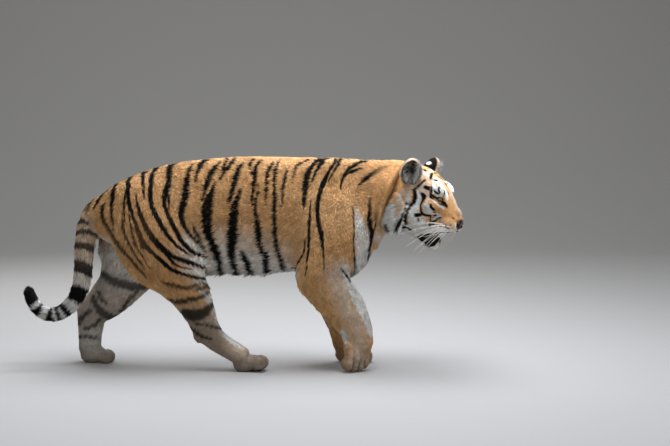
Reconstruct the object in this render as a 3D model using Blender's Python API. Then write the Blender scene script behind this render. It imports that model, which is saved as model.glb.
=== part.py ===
"""A life-size walking tiger, modelled whole and then parted into its named regions.

Metres, +Z up, the animal heading along +X with its left side towards +Y. It stands on the
plane z = 0, and the origin is on that plane under the middle of its bounding box. Every size
includes the depth of the coat.
"""

import math

import bmesh
import bpy
from mathutils import Matrix, Vector

# Driving dimensions.
WITHERS_HEIGHT = 0.952
PARTING_GAP = 0.0004
PAW_PRINT_DEPTH = 0.006
RING_POINTS = 28
FUSE_VOXEL = 0.0075
BODY_TRIANGLES = 4300
# Only the trunk is eased broadly: above the groin, behind the head and ahead of the tail.
TRUNK_EASE_ROUNDS = 60
ALL_EASE_ROUNDS = 6
TRUNK_LOW = 0.36
TRUNK_FRONT = 0.66
TRUNK_BACK = -0.70
TRUNK_FADE = 0.12
SHARP_ABOVE = math.radians(50)

# The head's own frame: origin between the ears and the eyes, X to the nose, Z to the crown.
HEAD_PLACE = Vector((0.846, -0.055, 0.743))
HEAD_TURN = math.radians(-26)
HEAD_NOD = math.radians(18)
HEAD_TILT = math.radians(-2)

ORANGE = (0.60, 0.26, 0.07, 1.0)
DARK = (0.02, 0.018, 0.016, 1.0)
AMBER = (0.45, 0.30, 0.06, 1.0)

for old in list(bpy.data.objects):
    bpy.data.objects.remove(old)


# ---------------------------------------------------------------- shapes


def material(name, colour, roughness):
    made = bpy.data.materials.new(name)
    made.use_nodes = True
    shader = made.node_tree.nodes["Principled BSDF"]
    shader.inputs["Base Color"].default_value = colour
    shader.inputs["Roughness"].default_value = roughness
    shader.inputs["Metallic"].default_value = 0.0
    return made


def place(name, mesh, finish):
    made = bpy.data.objects.new(name, mesh)
    made.data.materials.append(finish)
    bpy.context.scene.collection.objects.link(made)
    return made


def curve_through(rows, steps):
    """Rows of numbers along a Catmull-Rom curve through the given rows, steps to each span."""
    ends = [rows[0], *rows, rows[-1]]
    found = []
    for before, start, finish, after in zip(ends, ends[1:], ends[2:], ends[3:]):
        for step in range(steps):
            t = step / steps
            row = []
            for p, q, r, s in zip(before, start, finish, after):
                bend = (2 * p - 5 * q + 4 * r - s) * t**2 + (3 * q - p - 3 * r + s) * t**3
                row.append(0.5 * (2 * q + (r - p) * t + bend))
            found.append(tuple(row))
    found.append(tuple(rows[-1]))
    return found


def loft(rows, pear=0.0, steps=3, upright=False):
    """A closed skin over oval rings. A row is x, y, z, then the ring's half depth and half width.
    pear narrows the side of each ring that lies away from the belly; upright rings stay in
    planes across X, the others turn with the path."""
    rows = curve_through(rows, steps)
    bm = bmesh.new()
    loops = []
    for i, (x, y, z, depth, width) in enumerate(rows):
        ahead = Vector(rows[min(i + 1, len(rows) - 1)][:3]) - Vector(rows[max(i - 1, 0)][:3])
        ahead = Vector((1, 0, 0)) if upright else ahead.normalized()
        side = (Vector((0, 1, 0)) - ahead * ahead.y).normalized()
        up = ahead.cross(side)
        ring = bmesh.ops.create_circle(bm, segments=RING_POINTS, radius=1.0)["verts"]
        for v in ring:
            height, breadth = v.co.y, v.co.x
            wide = breadth * width * (1 - pear * height)
            v.co = Vector((x, y, z)) + up * height * depth + side * wide
        loops.append(list({e for v in ring for e in v.link_edges}))
    for near, far in zip(loops, loops[1:]):
        bmesh.ops.bridge_loops(bm, edges=near + far)
    for end in (loops[0], loops[-1]):
        bmesh.ops.edgeloop_fill(bm, edges=end)
    bmesh.ops.recalc_face_normals(bm, faces=bm.faces)
    return bm


def egg(centre, radii, turn=Matrix.Identity(4)):
    """An ellipsoid of flesh."""
    bm = bmesh.new()
    spread = Matrix.Translation(centre) @ turn @ Matrix.Diagonal((*radii, 1.0))
    bmesh.ops.create_icosphere(bm, subdivisions=3, radius=1.0, matrix=spread)
    return bm


def moved(bm, matrix):
    bmesh.ops.transform(bm, matrix=matrix, verts=bm.verts)
    return bm


def both_sides(make, *args):
    """The same lump on the left and, mirrored, on the right."""
    right = moved(make(*args), Matrix.Diagonal((1, -1, 1, 1)))
    bmesh.ops.reverse_faces(right, faces=right.faces)
    return [make(*args), right]


def pitched(degrees):
    return Matrix.Rotation(math.radians(degrees), 4, "Y")


# ---------------------------------------------------------------- trunk and neck

# Each station: x along the spine, height of the back, height of the belly, half width.
SPINE_STATIONS = (
    (-0.690, 0.700, 0.610, 0.040),
    (-0.655, 0.760, 0.590, 0.075),
    (-0.610, 0.806, 0.565, 0.102),
    (-0.550, 0.846, 0.530, 0.125),
    (-0.460, 0.884, 0.490, 0.143),
    (-0.350, 0.918, 0.462, 0.152),
    (-0.230, 0.938, 0.450, 0.158),
    (-0.100, 0.950, 0.434, 0.166),
    (0.030, 0.957, 0.420, 0.174),
    (0.150, 0.954, 0.428, 0.174),
    (0.270, 0.952, 0.428, 0.164),
    (0.380, WITHERS_HEIGHT, 0.410, 0.150),
    (0.470, 0.948, 0.402, 0.136),
    (0.540, 0.942, 0.448, 0.122),
    (0.600, 0.936, 0.545, 0.100),
)
NECK_STATIONS = (
    (0.460, 0.950, 0.430, 0.132),
    (0.520, 0.944, 0.462, 0.126),
    (0.580, 0.941, 0.525, 0.120),
    (0.650, 0.938, 0.590, 0.116),
    (0.715, 0.932, 0.618, 0.110),
    (0.780, 0.912, 0.625, 0.098),
)


def stations_to_rows(stations, sway=0.0):
    """Ring rows for stations seen from the side. sway bends the far end towards the right."""
    first, last = stations[0][0], stations[-1][0]
    return [
        (x, -sway * ((x - first) / (last - first)) ** 2, (top + bottom) / 2, (top - bottom) / 2, width)
        for x, top, bottom, width in stations
    ]


def trunk():
    lumps = [
        loft(stations_to_rows(SPINE_STATIONS), pear=0.16, upright=True),
        loft(stations_to_rows(NECK_STATIONS, sway=0.010), pear=0.24, upright=True),
        egg((-0.15, 0, 0.50), (0.28, 0.13, 0.075)),
    ]
    # Shoulder blades, upper arms, haunches and flanks.
    lumps += both_sides(egg, (0.380, 0.063, 0.820), (0.100, 0.050, 0.130), pitched(22))
    lumps += both_sides(egg, (0.405, 0.100, 0.660), (0.135, 0.060, 0.150))
    lumps += both_sides(egg, (-0.430, 0.070, 0.730), (0.170, 0.066, 0.115), pitched(20))
    return lumps


# ---------------------------------------------------------------- legs

# Rows from the top of each leg down: x, y, z, half depth fore and aft, half width.
FORELEG_RIGHT = (
    (0.410, -0.085, 0.800, 0.060, 0.035),
    (0.420, -0.100, 0.720, 0.110, 0.055),
    (0.420, -0.120, 0.620, 0.138, 0.068),
    (0.380, -0.128, 0.530, 0.138, 0.072),
    (0.341, -0.130, 0.443, 0.115, 0.067),
    (0.398, -0.125, 0.357, 0.106, 0.064),
    (0.460, -0.120, 0.271, 0.094, 0.060),
    (0.504, -0.116, 0.189, 0.076, 0.057),
    (0.516, -0.114, 0.125, 0.066, 0.056),
    (0.510, -0.113, 0.085, 0.055, 0.050),
)
FORELEG_LEFT = (
    (0.400, 0.085, 0.800, 0.060, 0.035),
    (0.405, 0.100, 0.720, 0.110, 0.055),
    (0.400, 0.120, 0.620, 0.135, 0.068),
    (0.364, 0.128, 0.530, 0.128, 0.072),
    (0.330, 0.128, 0.440, 0.096, 0.066),
    (0.368, 0.122, 0.345, 0.080, 0.062),
    (0.405, 0.116, 0.255, 0.068, 0.056),
    (0.430, 0.112, 0.180, 0.059, 0.053),
    (0.446, 0.110, 0.120, 0.056, 0.054),
    (0.462, 0.110, 0.070, 0.054, 0.056),
    (0.472, 0.110, 0.038, 0.048, 0.050),
)
HINDLEG_RIGHT = (
    (-0.450, -0.070, 0.790, 0.080, 0.040),
    (-0.445, -0.095, 0.710, 0.140, 0.062),
    (-0.415, -0.115, 0.620, 0.172, 0.078),
    (-0.355, -0.125, 0.520, 0.166, 0.080),
    (-0.285, -0.128, 0.435, 0.126, 0.073),
    (-0.232, -0.125, 0.350, 0.094, 0.061),
    (-0.194, -0.120, 0.270, 0.073, 0.051),
    (-0.165, -0.116, 0.200, 0.063, 0.045),
    (-0.130, -0.114, 0.150, 0.054, 0.042),
    (-0.080, -0.113, 0.112, 0.047, 0.043),
    (-0.025, -0.112, 0.080, 0.045, 0.048),
    (0.015, -0.112, 0.060, 0.036, 0.048),
)
HINDLEG_LEFT = (
    (-0.470, 0.070, 0.790, 0.080, 0.040),
    (-0.485, 0.095, 0.710, 0.135, 0.062),
    (-0.500, 0.115, 0.620, 0.162, 0.078),
    (-0.520, 0.125, 0.520, 0.160, 0.080),
    (-0.536, 0.128, 0.430, 0.138, 0.072),
    (-0.580, 0.125, 0.350, 0.106, 0.060),
    (-0.640, 0.121, 0.285, 0.090, 0.051),
    (-0.700, 0.118, 0.228, 0.073, 0.045),
    (-0.712, 0.116, 0.165, 0.060, 0.043),
    (-0.716, 0.115, 0.110, 0.053, 0.045),
    (-0.716, 0.115, 0.065, 0.052, 0.048),
    (-0.708, 0.115, 0.036, 0.046, 0.046),
)

FOREPAW = {"length": 0.158, "width": 0.130, "height": 0.078}
HINDPAW = {"length": 0.145, "width": 0.112, "height": 0.070}
TOE_PLACES = (-0.355, -0.125, 0.125, 0.355)


def paw(size, stand):
    """A foot: its broad palm, and four toes in a shallow arc. Its own frame has the sole's middle
    at the origin and the toes towards X; stand places that frame."""
    length, width, height = size["length"], size["width"], size["height"]
    lumps = [
        egg((-length * 0.02, 0, height * 0.52), (length * 0.42, width * 0.44, height * 0.52)),
        egg((length * 0.20, 0, height * 0.56), (length * 0.27, width * 0.46, height * 0.50), pitched(12)),
    ]
    for share in TOE_PLACES:
        reach = length * (0.47 - 0.60 * share**2)
        toe = (reach, width * share, height * 0.42)
        lumps.append(egg(toe, (length * 0.20, width * 0.145, height * 0.42)))
    return [moved(lump, stand) for lump in lumps]


def stance(place, yaw=0.0, pitch=0.0):
    return Matrix.Translation(place) @ Matrix.Rotation(math.radians(yaw), 4, "Z") @ pitched(pitch)


def legs():
    lumps = [loft(rows) for rows in (FORELEG_RIGHT, FORELEG_LEFT, HINDLEG_RIGHT, HINDLEG_LEFT)]
    lumps += paw(FOREPAW, stance((0.480, 0.110, -PAW_PRINT_DEPTH), yaw=-4))
    lumps += paw(HINDPAW, stance((-0.698, 0.115, -PAW_PRINT_DEPTH), yaw=3))
    lumps += paw(HINDPAW, stance((0.026, -0.112, -0.004), yaw=-3, pitch=-11))
    # The lifted forefoot hangs from a bent wrist, its back turned outwards, toes just down.
    lumps += paw(FOREPAW, stance((0.475, -0.098, 0.096), yaw=-52, pitch=82))
    # The points of the elbows and of the hocks.
    lumps.append(egg((0.285, -0.128, 0.442), (0.052, 0.042, 0.052)))
    lumps.append(egg((0.290, 0.128, 0.442), (0.052, 0.042, 0.052)))
    lumps.append(egg((-0.190, -0.117, 0.168), (0.034, 0.027, 0.046)))
    lumps.append(egg((-0.748, 0.119, 0.240), (0.032, 0.027, 0.040)))
    return lumps


# ---------------------------------------------------------------- tail

TAIL_ROWS = (
    (-0.600, 0.000, 0.740, 0.060, 0.060),
    (-0.655, 0.000, 0.705, 0.058, 0.056),
    (-0.690, -0.002, 0.650, 0.054, 0.051),
    (-0.708, -0.006, 0.585, 0.050, 0.047),
    (-0.718, -0.012, 0.500, 0.046, 0.044),
    (-0.722, -0.018, 0.425, 0.043, 0.041),
    (-0.738, -0.020, 0.355, 0.040, 0.038),
    (-0.770, -0.020, 0.293, 0.037, 0.036),
    (-0.820, -0.020, 0.252, 0.035, 0.034),
    (-0.872, -0.020, 0.240, 0.034, 0.033),
    (-0.922, -0.020, 0.262, 0.032, 0.031),
    (-0.954, -0.020, 0.306, 0.030, 0.030),
    (-0.966, -0.020, 0.345, 0.026, 0.026),
    (-0.967, -0.020, 0.366, 0.014, 0.014),
)

# ---------------------------------------------------------------- head

# Each station: x towards the nose, height of the crown line, height of the palate, half width.
SKULL_STATIONS = (
    (-0.190, 0.105, -0.120, 0.080),
    (-0.140, 0.136, -0.125, 0.108),
    (-0.090, 0.145, -0.122, 0.114),
    (-0.040, 0.139, -0.108, 0.108),
    (0.000, 0.124, -0.092, 0.096),
    (0.040, 0.100, -0.084, 0.078),
    (0.075, 0.070, -0.082, 0.062),
    (0.100, 0.046, -0.084, 0.053),
    (0.126, 0.014, -0.086, 0.046),
    (0.146, -0.010, -0.080, 0.036),
    (0.157, -0.028, -0.066, 0.022),
)
# The lowered jaw: rows of x, y, z, half depth and half width, as for the legs.
JAW_ROWS = (
    (-0.110, 0.0, -0.105, 0.055, 0.074),
    (-0.060, 0.0, -0.115, 0.052, 0.078),
    (-0.010, 0.0, -0.126, 0.040, 0.066),
    (0.030, 0.0, -0.138, 0.036, 0.056),
    (0.060, 0.0, -0.149, 0.036, 0.050),
    (0.080, 0.0, -0.154, 0.028, 0.040),
)
EYE_PLACE = Vector((0.047, 0.058, 0.044))
EYE_RADIUS = 0.0175
# The ear cup: its middle, its outer and hollow half sizes (deep, wide, high) and how it turns.
EAR_PLACE = Vector((-0.100, 0.115, 0.118))
EAR_RADII = (0.036, 0.051, 0.073)
EAR_HOLLOW_RADII = (0.040, 0.041, 0.062)
EAR_HOLLOW_SHIFT = 0.017
EAR_OUTWARD = 55
EAR_LEAN = 20


def head_frame():
    turned = Matrix.Rotation(HEAD_TURN, 4, "Z") @ Matrix.Rotation(HEAD_NOD, 4, "Y")
    return Matrix.Translation(HEAD_PLACE) @ turned @ Matrix.Rotation(HEAD_TILT, 4, "X")


def head():
    lumps = [loft(stations_to_rows(SKULL_STATIONS), pear=0.06, upright=True)]
    lumps += [loft(JAW_ROWS), egg((0.058, 0, -0.163), (0.031, 0.043, 0.035))]
    # The whisker pads, the nose, the brows, the cheekbones and the two ruffs of cheek hair.
    lumps += both_sides(egg, (0.112, 0.033, -0.054), (0.050, 0.034, 0.036), pitched(12))
    lumps.append(egg((0.141, 0, -0.026), (0.022, 0.029, 0.024)))
    lumps += both_sides(egg, (0.026, 0.050, 0.078), (0.042, 0.034, 0.026), pitched(32))
    lumps += both_sides(egg, (0.012, 0.072, 0.000), (0.056, 0.036, 0.040))
    lumps += both_sides(egg, (-0.045, 0.070, -0.068), (0.088, 0.052, 0.078))
    lumps += both_sides(egg, (-0.108, 0.102, -0.072), (0.058, 0.040, 0.100), pitched(-10))
    return [moved(lump, head_frame()) for lump in lumps]


# ---------------------------------------------------------------- fusing and parting


def evaluated(thing):
    """The object's mesh with its modifiers in it."""
    bpy.context.view_layer.update()
    return bpy.data.meshes.new_from_object(thing.evaluated_get(bpy.context.evaluated_depsgraph_get()))


def settle(thing):
    """Put the modifiers' result into the object itself."""
    mesh = evaluated(thing)
    thing.modifiers.clear()
    thing.data = mesh


def fuse(lumps, finish):
    """All the lumps of flesh as one closed skin. The trunk is eased more than limbs and head."""
    mesh = bpy.data.meshes.new("lumps")
    whole = bmesh.new()
    for lump in lumps:
        piece = bpy.data.meshes.new("piece")
        lump.to_mesh(piece)
        lump.free()
        whole.from_mesh(piece)
        bpy.data.meshes.remove(piece)
    whole.to_mesh(mesh)
    whole.free()
    body = place("body", mesh, finish)
    remesh = body.modifiers.new("fuse", "REMESH")
    remesh.mode = "VOXEL"
    remesh.voxel_size = FUSE_VOXEL
    settle(body)
    broad = body.vertex_groups.new(name="broad")
    for v in body.data.vertices:
        inside = min(v.co.z - TRUNK_LOW, TRUNK_FRONT - v.co.x, v.co.x - TRUNK_BACK)
        broad.add([v.index], max(0.0, min(1.0, inside / TRUNK_FADE)), "REPLACE")
    for name, group, rounds in (("trunk", "broad", TRUNK_EASE_ROUNDS), ("all", "", ALL_EASE_ROUNDS)):
        ease = body.modifiers.new(name, "SMOOTH")
        ease.factor = 0.5
        ease.iterations = rounds
        ease.vertex_group = group
    settle(body)
    body.data.calc_loop_triangles()
    thin = body.modifiers.new("thin", "DECIMATE")
    thin.ratio = BODY_TRIANGLES / len(body.data.loop_triangles)
    settle(body)
    return body


def boolean(thing, other, operation):
    step = thing.modifiers.new(operation.lower(), "BOOLEAN")
    step.operation = operation
    step.solver = "EXACT"
    step.object = other
    settle(thing)


def cutter(bm, name="cutter"):
    """A guide that shapes other pieces and is not part of the animal."""
    mesh = bpy.data.meshes.new(name)
    bm.to_mesh(mesh)
    bm.free()
    made = place(name, mesh, fur)
    made.hide_render = True
    made.display_type = "WIRE"
    return made


def block(centre, size, turn=Matrix.Identity(4), grow=0.0):
    bm = bmesh.new()
    spread = Matrix.Diagonal((*(side + 2 * grow for side in size), 1.0))
    bmesh.ops.create_cube(bm, size=1.0, matrix=Matrix.Translation(centre) @ turn @ spread)
    return bm


def part_off(name, centre, size, turn=Matrix.Identity(4), frame=Matrix.Identity(4)):
    """Cut the flesh inside a block away from the body as a piece of its own, a thin gap between."""
    piece = place(name, body.data.copy(), fur)
    tight = cutter(moved(block(centre, size, turn), frame))
    loose = cutter(moved(block(centre, size, turn, PARTING_GAP), frame))
    boolean(piece, tight, "INTERSECT")
    boolean(body, loose, "DIFFERENCE")
    bpy.data.objects.remove(tight)
    bpy.data.objects.remove(loose)
    return piece


fur = material("fur", ORANGE, 0.85)
eye_glaze = material("eye", AMBER, 0.15)
body = fuse(trunk() + legs() + head() + [loft(TAIL_ROWS)], fur)

# The soles rest in one plane.
floor = cutter(block((0, 0, -0.1), (3.0, 1.0, 0.2)))
boolean(body, floor, "DIFFERENCE")
bpy.data.objects.remove(floor)

for side, sign in (("left", 1), ("right", -1)):
    # The eyeball sits in a socket of its own shape.
    seat = Vector((EYE_PLACE.x, sign * EYE_PLACE.y, EYE_PLACE.z))
    socket = cutter(moved(egg(seat, [EYE_RADIUS + PARTING_GAP] * 3), head_frame()))
    boolean(body, socket, "DIFFERENCE")
    bpy.data.objects.remove(socket)
    ball = bmesh.new()
    bmesh.ops.create_uvsphere(ball, u_segments=12, v_segments=8, radius=EYE_RADIUS)
    mesh = bpy.data.meshes.new("eye_" + side)
    moved(ball, head_frame() @ Matrix.Translation(seat) @ pitched(90)).to_mesh(mesh)
    ball.free()
    place("eye_" + side, mesh, eye_glaze)

    # The ear is a rounded cup, open forwards and outwards, standing just clear of the crown.
    root = Matrix.Translation((EAR_PLACE.x, sign * EAR_PLACE.y, EAR_PLACE.z))
    lean = Matrix.Rotation(math.radians(-sign * EAR_LEAN), 4, "X")
    turn = Matrix.Rotation(math.radians(sign * EAR_OUTWARD), 4, "Z")
    ear_frame = head_frame() @ root @ lean @ turn
    mesh = bpy.data.meshes.new("ear_" + side)
    shell = bmesh.new()
    swell = Matrix.Diagonal((*EAR_RADII, 1))
    bmesh.ops.create_uvsphere(shell, u_segments=14, v_segments=9, radius=1.0, matrix=swell)
    moved(shell, ear_frame).to_mesh(mesh)
    shell.free()
    ear = place("ear_" + side, mesh, fur)
    hollow = bmesh.new()
    stretch = Matrix.Translation((EAR_HOLLOW_SHIFT, 0, 0)) @ Matrix.Diagonal((*EAR_HOLLOW_RADII, 1))
    bmesh.ops.create_uvsphere(hollow, u_segments=14, v_segments=9, radius=1.0, matrix=ear_frame @ stretch)
    hollow = cutter(hollow)
    boolean(ear, hollow, "DIFFERENCE")
    bpy.data.objects.remove(hollow)
    boolean(ear, body, "DIFFERENCE")
    clear = ear_frame.to_3x3() @ Vector((0, 0, PARTING_GAP))
    ear.data.transform(Matrix.Translation(clear))

# Where a person would part the animal: each block takes one piece, the rest stays the belly.
# A row is the piece, the block's middle, its size and its pitch in degrees.
for name, centre, size, pitch in (
    ("tail_tip", (-1.00, 0.00, 0.30), (0.40, 0.30, 0.60), 0),
    ("tail_middle", (-0.88, -0.025, 0.235), (0.44, 0.15, 0.47), 0),
    ("tail_base", (-0.86, 0.00, 0.66), (0.376, 0.18, 0.38), 0),
    ("right_forepaw", (0.46, -0.15, 0.06), (0.40, 0.26, 0.19), 0),
    ("left_forepaw", (0.46, 0.15, 0.06), (0.40, 0.26, 0.19), 0),
    ("right_hind_foot", (-0.046, -0.12, 0.062), (0.30, 0.16, 0.26), 46),
    ("left_hind_foot", (-0.70, 0.13, 0.075), (0.30, 0.16, 0.23), 0),
    ("right_foreleg", (0.42, -0.17, 0.29), (0.50, 0.26, 0.34), 0),
    ("left_foreleg", (0.42, 0.17, 0.29), (0.50, 0.26, 0.34), 0),
    ("right_hind_leg", (-0.37, -0.17, 0.25), (0.66, 0.27, 0.40), 0),
    ("left_hind_leg", (-0.59, 0.17, 0.25), (0.46, 0.27, 0.40), 0),
):
    part_off(name, centre, size, pitched(pitch))
part_off("lower_jaw", (0.045, 0.00, -0.20), (0.19, 0.11, 0.20), pitched(6), head_frame())
part_off("head", (0.045, 0.00, 0.03), (0.42, 0.60, 0.54), frame=head_frame())
part_off("neck", (0.79, 0.00, 0.784), (0.50, 0.60, 0.80), pitched(-14.5))
part_off("hindquarters", (-0.52, 0.00, 0.60), (0.60, 0.60, 0.80))
part_off("chest", (0.42, 0.00, 0.60), (0.44, 0.60, 0.80))
body.name = "belly"

# The origin goes under the middle of the whole animal, on the plane it stands on.
pieces = [thing for thing in bpy.data.objects if not thing.hide_render]
corners = [thing.matrix_world @ Vector(v.co) for thing in pieces for v in thing.data.vertices]
middle = [(min(c[axis] for c in corners) + max(c[axis] for c in corners)) / 2 for axis in (0, 1)]
for thing in pieces:
    thing.data.transform(Matrix.Translation((-middle[0], -middle[1], 0)))
    thing.data.shade_smooth()
    thing.data.set_sharp_from_angle(angle=SHARP_ABOVE)
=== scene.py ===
"""A life-size walking tiger, finished like a museum mount: skin, coat, eyes, nose, whiskers and feet.

Metres, +Z up, the animal heads along +X with its left side towards +Y. It is a still model, so
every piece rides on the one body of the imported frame.
"""

import math

import bmesh
import bpy
import numpy as np
from mathutils import Matrix, Vector
from mathutils.bvhtree import BVHTree
from mathutils.kdtree import KDTree


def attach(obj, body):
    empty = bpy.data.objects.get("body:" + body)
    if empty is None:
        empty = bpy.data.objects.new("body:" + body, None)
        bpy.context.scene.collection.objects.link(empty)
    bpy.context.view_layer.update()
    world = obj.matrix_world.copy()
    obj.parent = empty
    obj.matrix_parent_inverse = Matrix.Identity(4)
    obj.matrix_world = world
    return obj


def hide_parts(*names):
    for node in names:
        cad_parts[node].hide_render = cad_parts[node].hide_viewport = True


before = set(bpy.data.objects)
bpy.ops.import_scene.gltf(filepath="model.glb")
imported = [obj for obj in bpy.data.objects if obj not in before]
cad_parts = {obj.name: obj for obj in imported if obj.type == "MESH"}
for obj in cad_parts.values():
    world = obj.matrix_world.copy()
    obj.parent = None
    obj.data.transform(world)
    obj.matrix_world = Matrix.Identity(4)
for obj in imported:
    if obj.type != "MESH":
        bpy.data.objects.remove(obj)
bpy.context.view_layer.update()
chance = np.random.default_rng(7)

# ------------------------------------------------------------------------------- the head's form
# The bare head under its coat: skull, jaw, muzzle pads, brows and cheeks as one form. A mount's
# head is carved foam; here it is lofts and lumps of flesh in the head's own frame, whose origin
# lies between ears and eyes, with X to the nose and Z to the crown.

# The animal's sides, each with its sign along Y.
SIDES = {"left": 1, "right": -1}
FACE_COAT = 0.0030


def rotation(degrees, axis):
    return Matrix.Rotation(math.radians(degrees), 4, axis)


HEAD_PLACE = Matrix.Translation((0.8500, -0.0546, 0.7430))
HEAD = HEAD_PLACE @ rotation(-26, "Z") @ rotation(18, "Y") @ rotation(-2, "X")

# Each station: x towards the nose, height of the crown line, height of the palate, half width.
SKULL_STATIONS = (
    (-0.190, 0.105, -0.120, 0.078),
    (-0.140, 0.136, -0.125, 0.104),
    (-0.090, 0.145, -0.122, 0.110),
    (-0.040, 0.139, -0.108, 0.104),
    (0.000, 0.124, -0.092, 0.092),
    (0.040, 0.100, -0.084, 0.074),
    (0.075, 0.070, -0.080, 0.058),
    (0.100, 0.046, -0.081, 0.049),
    (0.126, 0.014, -0.083, 0.043),
    (0.146, -0.010, -0.078, 0.034),
    (0.155, -0.028, -0.066, 0.021),
)
# The lowered jaw: x, y, z, half depth, half width.
JAW_ROWS = (
    (-0.110, 0.0, -0.105, 0.055, 0.072),
    (-0.060, 0.0, -0.115, 0.052, 0.076),
    (-0.010, 0.0, -0.133, 0.037, 0.064),
    (0.030, 0.0, -0.149, 0.030, 0.052),
    (0.060, 0.0, -0.156, 0.029, 0.046),
    (0.080, 0.0, -0.155, 0.029, 0.037),
)
# The upper lip hangs from the whisker pad to the corner of the mouth: x, y, z, half depth, half width.
LIP_ROWS = (
    (0.142, 0.024, -0.064, 0.011, 0.014),
    (0.121, 0.035, -0.073, 0.017, 0.014),
    (0.106, 0.042, -0.077, 0.020, 0.013),
    (0.090, 0.047, -0.083, 0.021, 0.012),
    (0.075, 0.051, -0.090, 0.021, 0.012),
    (0.059, 0.054, -0.099, 0.021, 0.012),
    (0.043, 0.056, -0.110, 0.020, 0.012),
    (0.023, 0.058, -0.122, 0.019, 0.012),
    (0.000, 0.058, -0.130, 0.016, 0.012),
)


def curve_through(rows, steps):
    """Rows of numbers along a Catmull-Rom curve through the given rows, steps to each span."""
    ends = [rows[0], *rows, rows[-1]]
    found = []
    for before, start, finish, after in zip(ends, ends[1:], ends[2:], ends[3:]):
        for step in range(steps):
            t = step / steps
            row = []
            for p, q, r, s in zip(before, start, finish, after):
                bend = (2 * p - 5 * q + 4 * r - s) * t**2 + (3 * q - p - 3 * r + s) * t**3
                row.append(0.5 * (2 * q + (r - p) * t + bend))
            found.append(tuple(row))
    found.append(tuple(rows[-1]))
    return found


def joined(bm, rings, closed=False):
    """Faces from each ring of points to the next, then back to the first or over both ends."""
    loops = [list({e for v in ring for e in v.link_edges}) for ring in rings]
    for near, far in zip(loops, loops[1:] + (loops[:1] if closed else [])):
        bmesh.ops.bridge_loops(bm, edges=near + far)
    for end in () if closed else (loops[0], loops[-1]):
        bmesh.ops.edgeloop_fill(bm, edges=end)


def loft(rows, pear=0.0, upright=False, points=48):
    """A closed skin over oval rings: x, y, z, half depth and half width to a row."""
    rows = curve_through(rows, 4)
    bm = bmesh.new()
    rings = []
    for i, (x, y, z, depth, width) in enumerate(rows):
        ahead = Vector(rows[min(i + 1, len(rows) - 1)][:3]) - Vector(rows[max(i - 1, 0)][:3])
        ahead = Vector((1, 0, 0)) if upright else ahead.normalized()
        side = (Vector((0, 1, 0)) - ahead * ahead.y).normalized()
        up = ahead.cross(side)
        ring = bmesh.ops.create_circle(bm, segments=points, radius=1.0)["verts"]
        for v in ring:
            height, breadth = v.co.y, v.co.x
            v.co = Vector((x, y, z)) + up * height * depth + side * breadth * width * (1 - pear * height)
        rings.append(ring)
    joined(bm, rings)
    bmesh.ops.recalc_face_normals(bm, faces=bm.faces)
    return bm


def lump(centre, radii, pitch=0.0, inset=FACE_COAT):
    """An oval lump of flesh, less the coat that will cover it."""
    bm = bmesh.new()
    half = Matrix.Diagonal((*[r - inset for r in radii], 1.0))
    matrix = Matrix.Translation(centre) @ rotation(pitch, "Y") @ half
    bmesh.ops.create_icosphere(bm, subdivisions=4, radius=1.0, matrix=matrix)
    return bm


def pair(centre, radii, pitch=0.0, inset=FACE_COAT):
    x, y, z = centre
    return [lump((x, sign * y, z), radii, pitch, inset) for sign in SIDES.values()]


head_lumps = [
    loft([(x, 0, (t + b) / 2, (t - b) / 2 - FACE_COAT, w) for x, t, b, w in SKULL_STATIONS], 0.06, True),
    loft([(x, y, z, d - FACE_COAT, w - 0.002) for x, y, z, d, w in JAW_ROWS]),
    lump((0.058, 0, -0.163), (0.031, 0.043, 0.035)),
    lump((0.139, 0, -0.027), (0.024, 0.029, 0.025)),
    lump((0.118, 0, 0.000), (0.040, 0.027, 0.026), 38),
]
head_lumps += pair((0.111, 0.032, -0.054), (0.050, 0.034, 0.036), 12)
head_lumps += pair((0.146, 0.018, -0.044), (0.017, 0.014, 0.018))
head_lumps += pair((0.048, 0.046, -0.078), (0.042, 0.021, 0.036))
head_lumps += [loft([(x, sign * y, z, d, w) for x, y, z, d, w in LIP_ROWS]) for sign in SIDES.values()]
head_lumps += pair((0.026, 0.050, 0.078), (0.042, 0.034, 0.026), 32)
head_lumps += pair((0.012, 0.072, 0.000), (0.056, 0.036, 0.040))
head_lumps += pair((0.0415, 0.0530, 0.0430), (0.0240, 0.0215, 0.0225), inset=0.0)
head_lumps += pair((-0.045, 0.070, -0.068), (0.088, 0.052, 0.078), inset=0.006)
head_lumps += pair((-0.108, 0.102, -0.072), (0.058, 0.040, 0.100), -10, inset=0.012)

# Where the eyes sit; then, in degrees to the left of straight ahead, which way they look and which
# way their lids open.
EYE_PLACE = Vector((0.0450, 0.0575, 0.0425))
EYE_RADIUS = 0.0172
GAZES = {"left": 18, "right": -52}
ORBITS = {"left": 43, "right": -43}


def eye_frame(side, heading, pitch=4):
    """The eye's own frame: X along the given heading, Z up."""
    place = Matrix.Translation((EYE_PLACE.x, SIDES[side] * EYE_PLACE.y, EYE_PLACE.z))
    return HEAD @ place @ (rotation(heading, "Z") @ rotation(pitch, "Y"))


# ------------------------------------------------------------------------------- the ears
# Rounded cups of thin gristle and skin, open forwards and outwards, grown from the crown. Each is
# an oval with a smaller oval cut out of its front.

EAR_PLACE = Vector((-0.100, 0.115, 0.118))
EAR_LEAN, EAR_YAW = 20, 55
EAR_RADII = (0.0345, 0.0460, 0.0690)
EAR_HOLLOW_RADII = (0.040, 0.0385, 0.0605)
EAR_HOLLOW_SHIFT = 0.016


def ear_frame(sign):
    """The cup's own frame: X out of its opening, Z to its tip."""
    root = Matrix.Translation((EAR_PLACE.x, sign * EAR_PLACE.y, EAR_PLACE.z))
    return HEAD @ root @ rotation(-sign * EAR_LEAN, "X") @ rotation(sign * EAR_YAW, "Z")


def shown(name, data):
    made = bpy.data.objects.new(name, data)
    bpy.context.scene.collection.objects.link(made)
    return made


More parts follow.
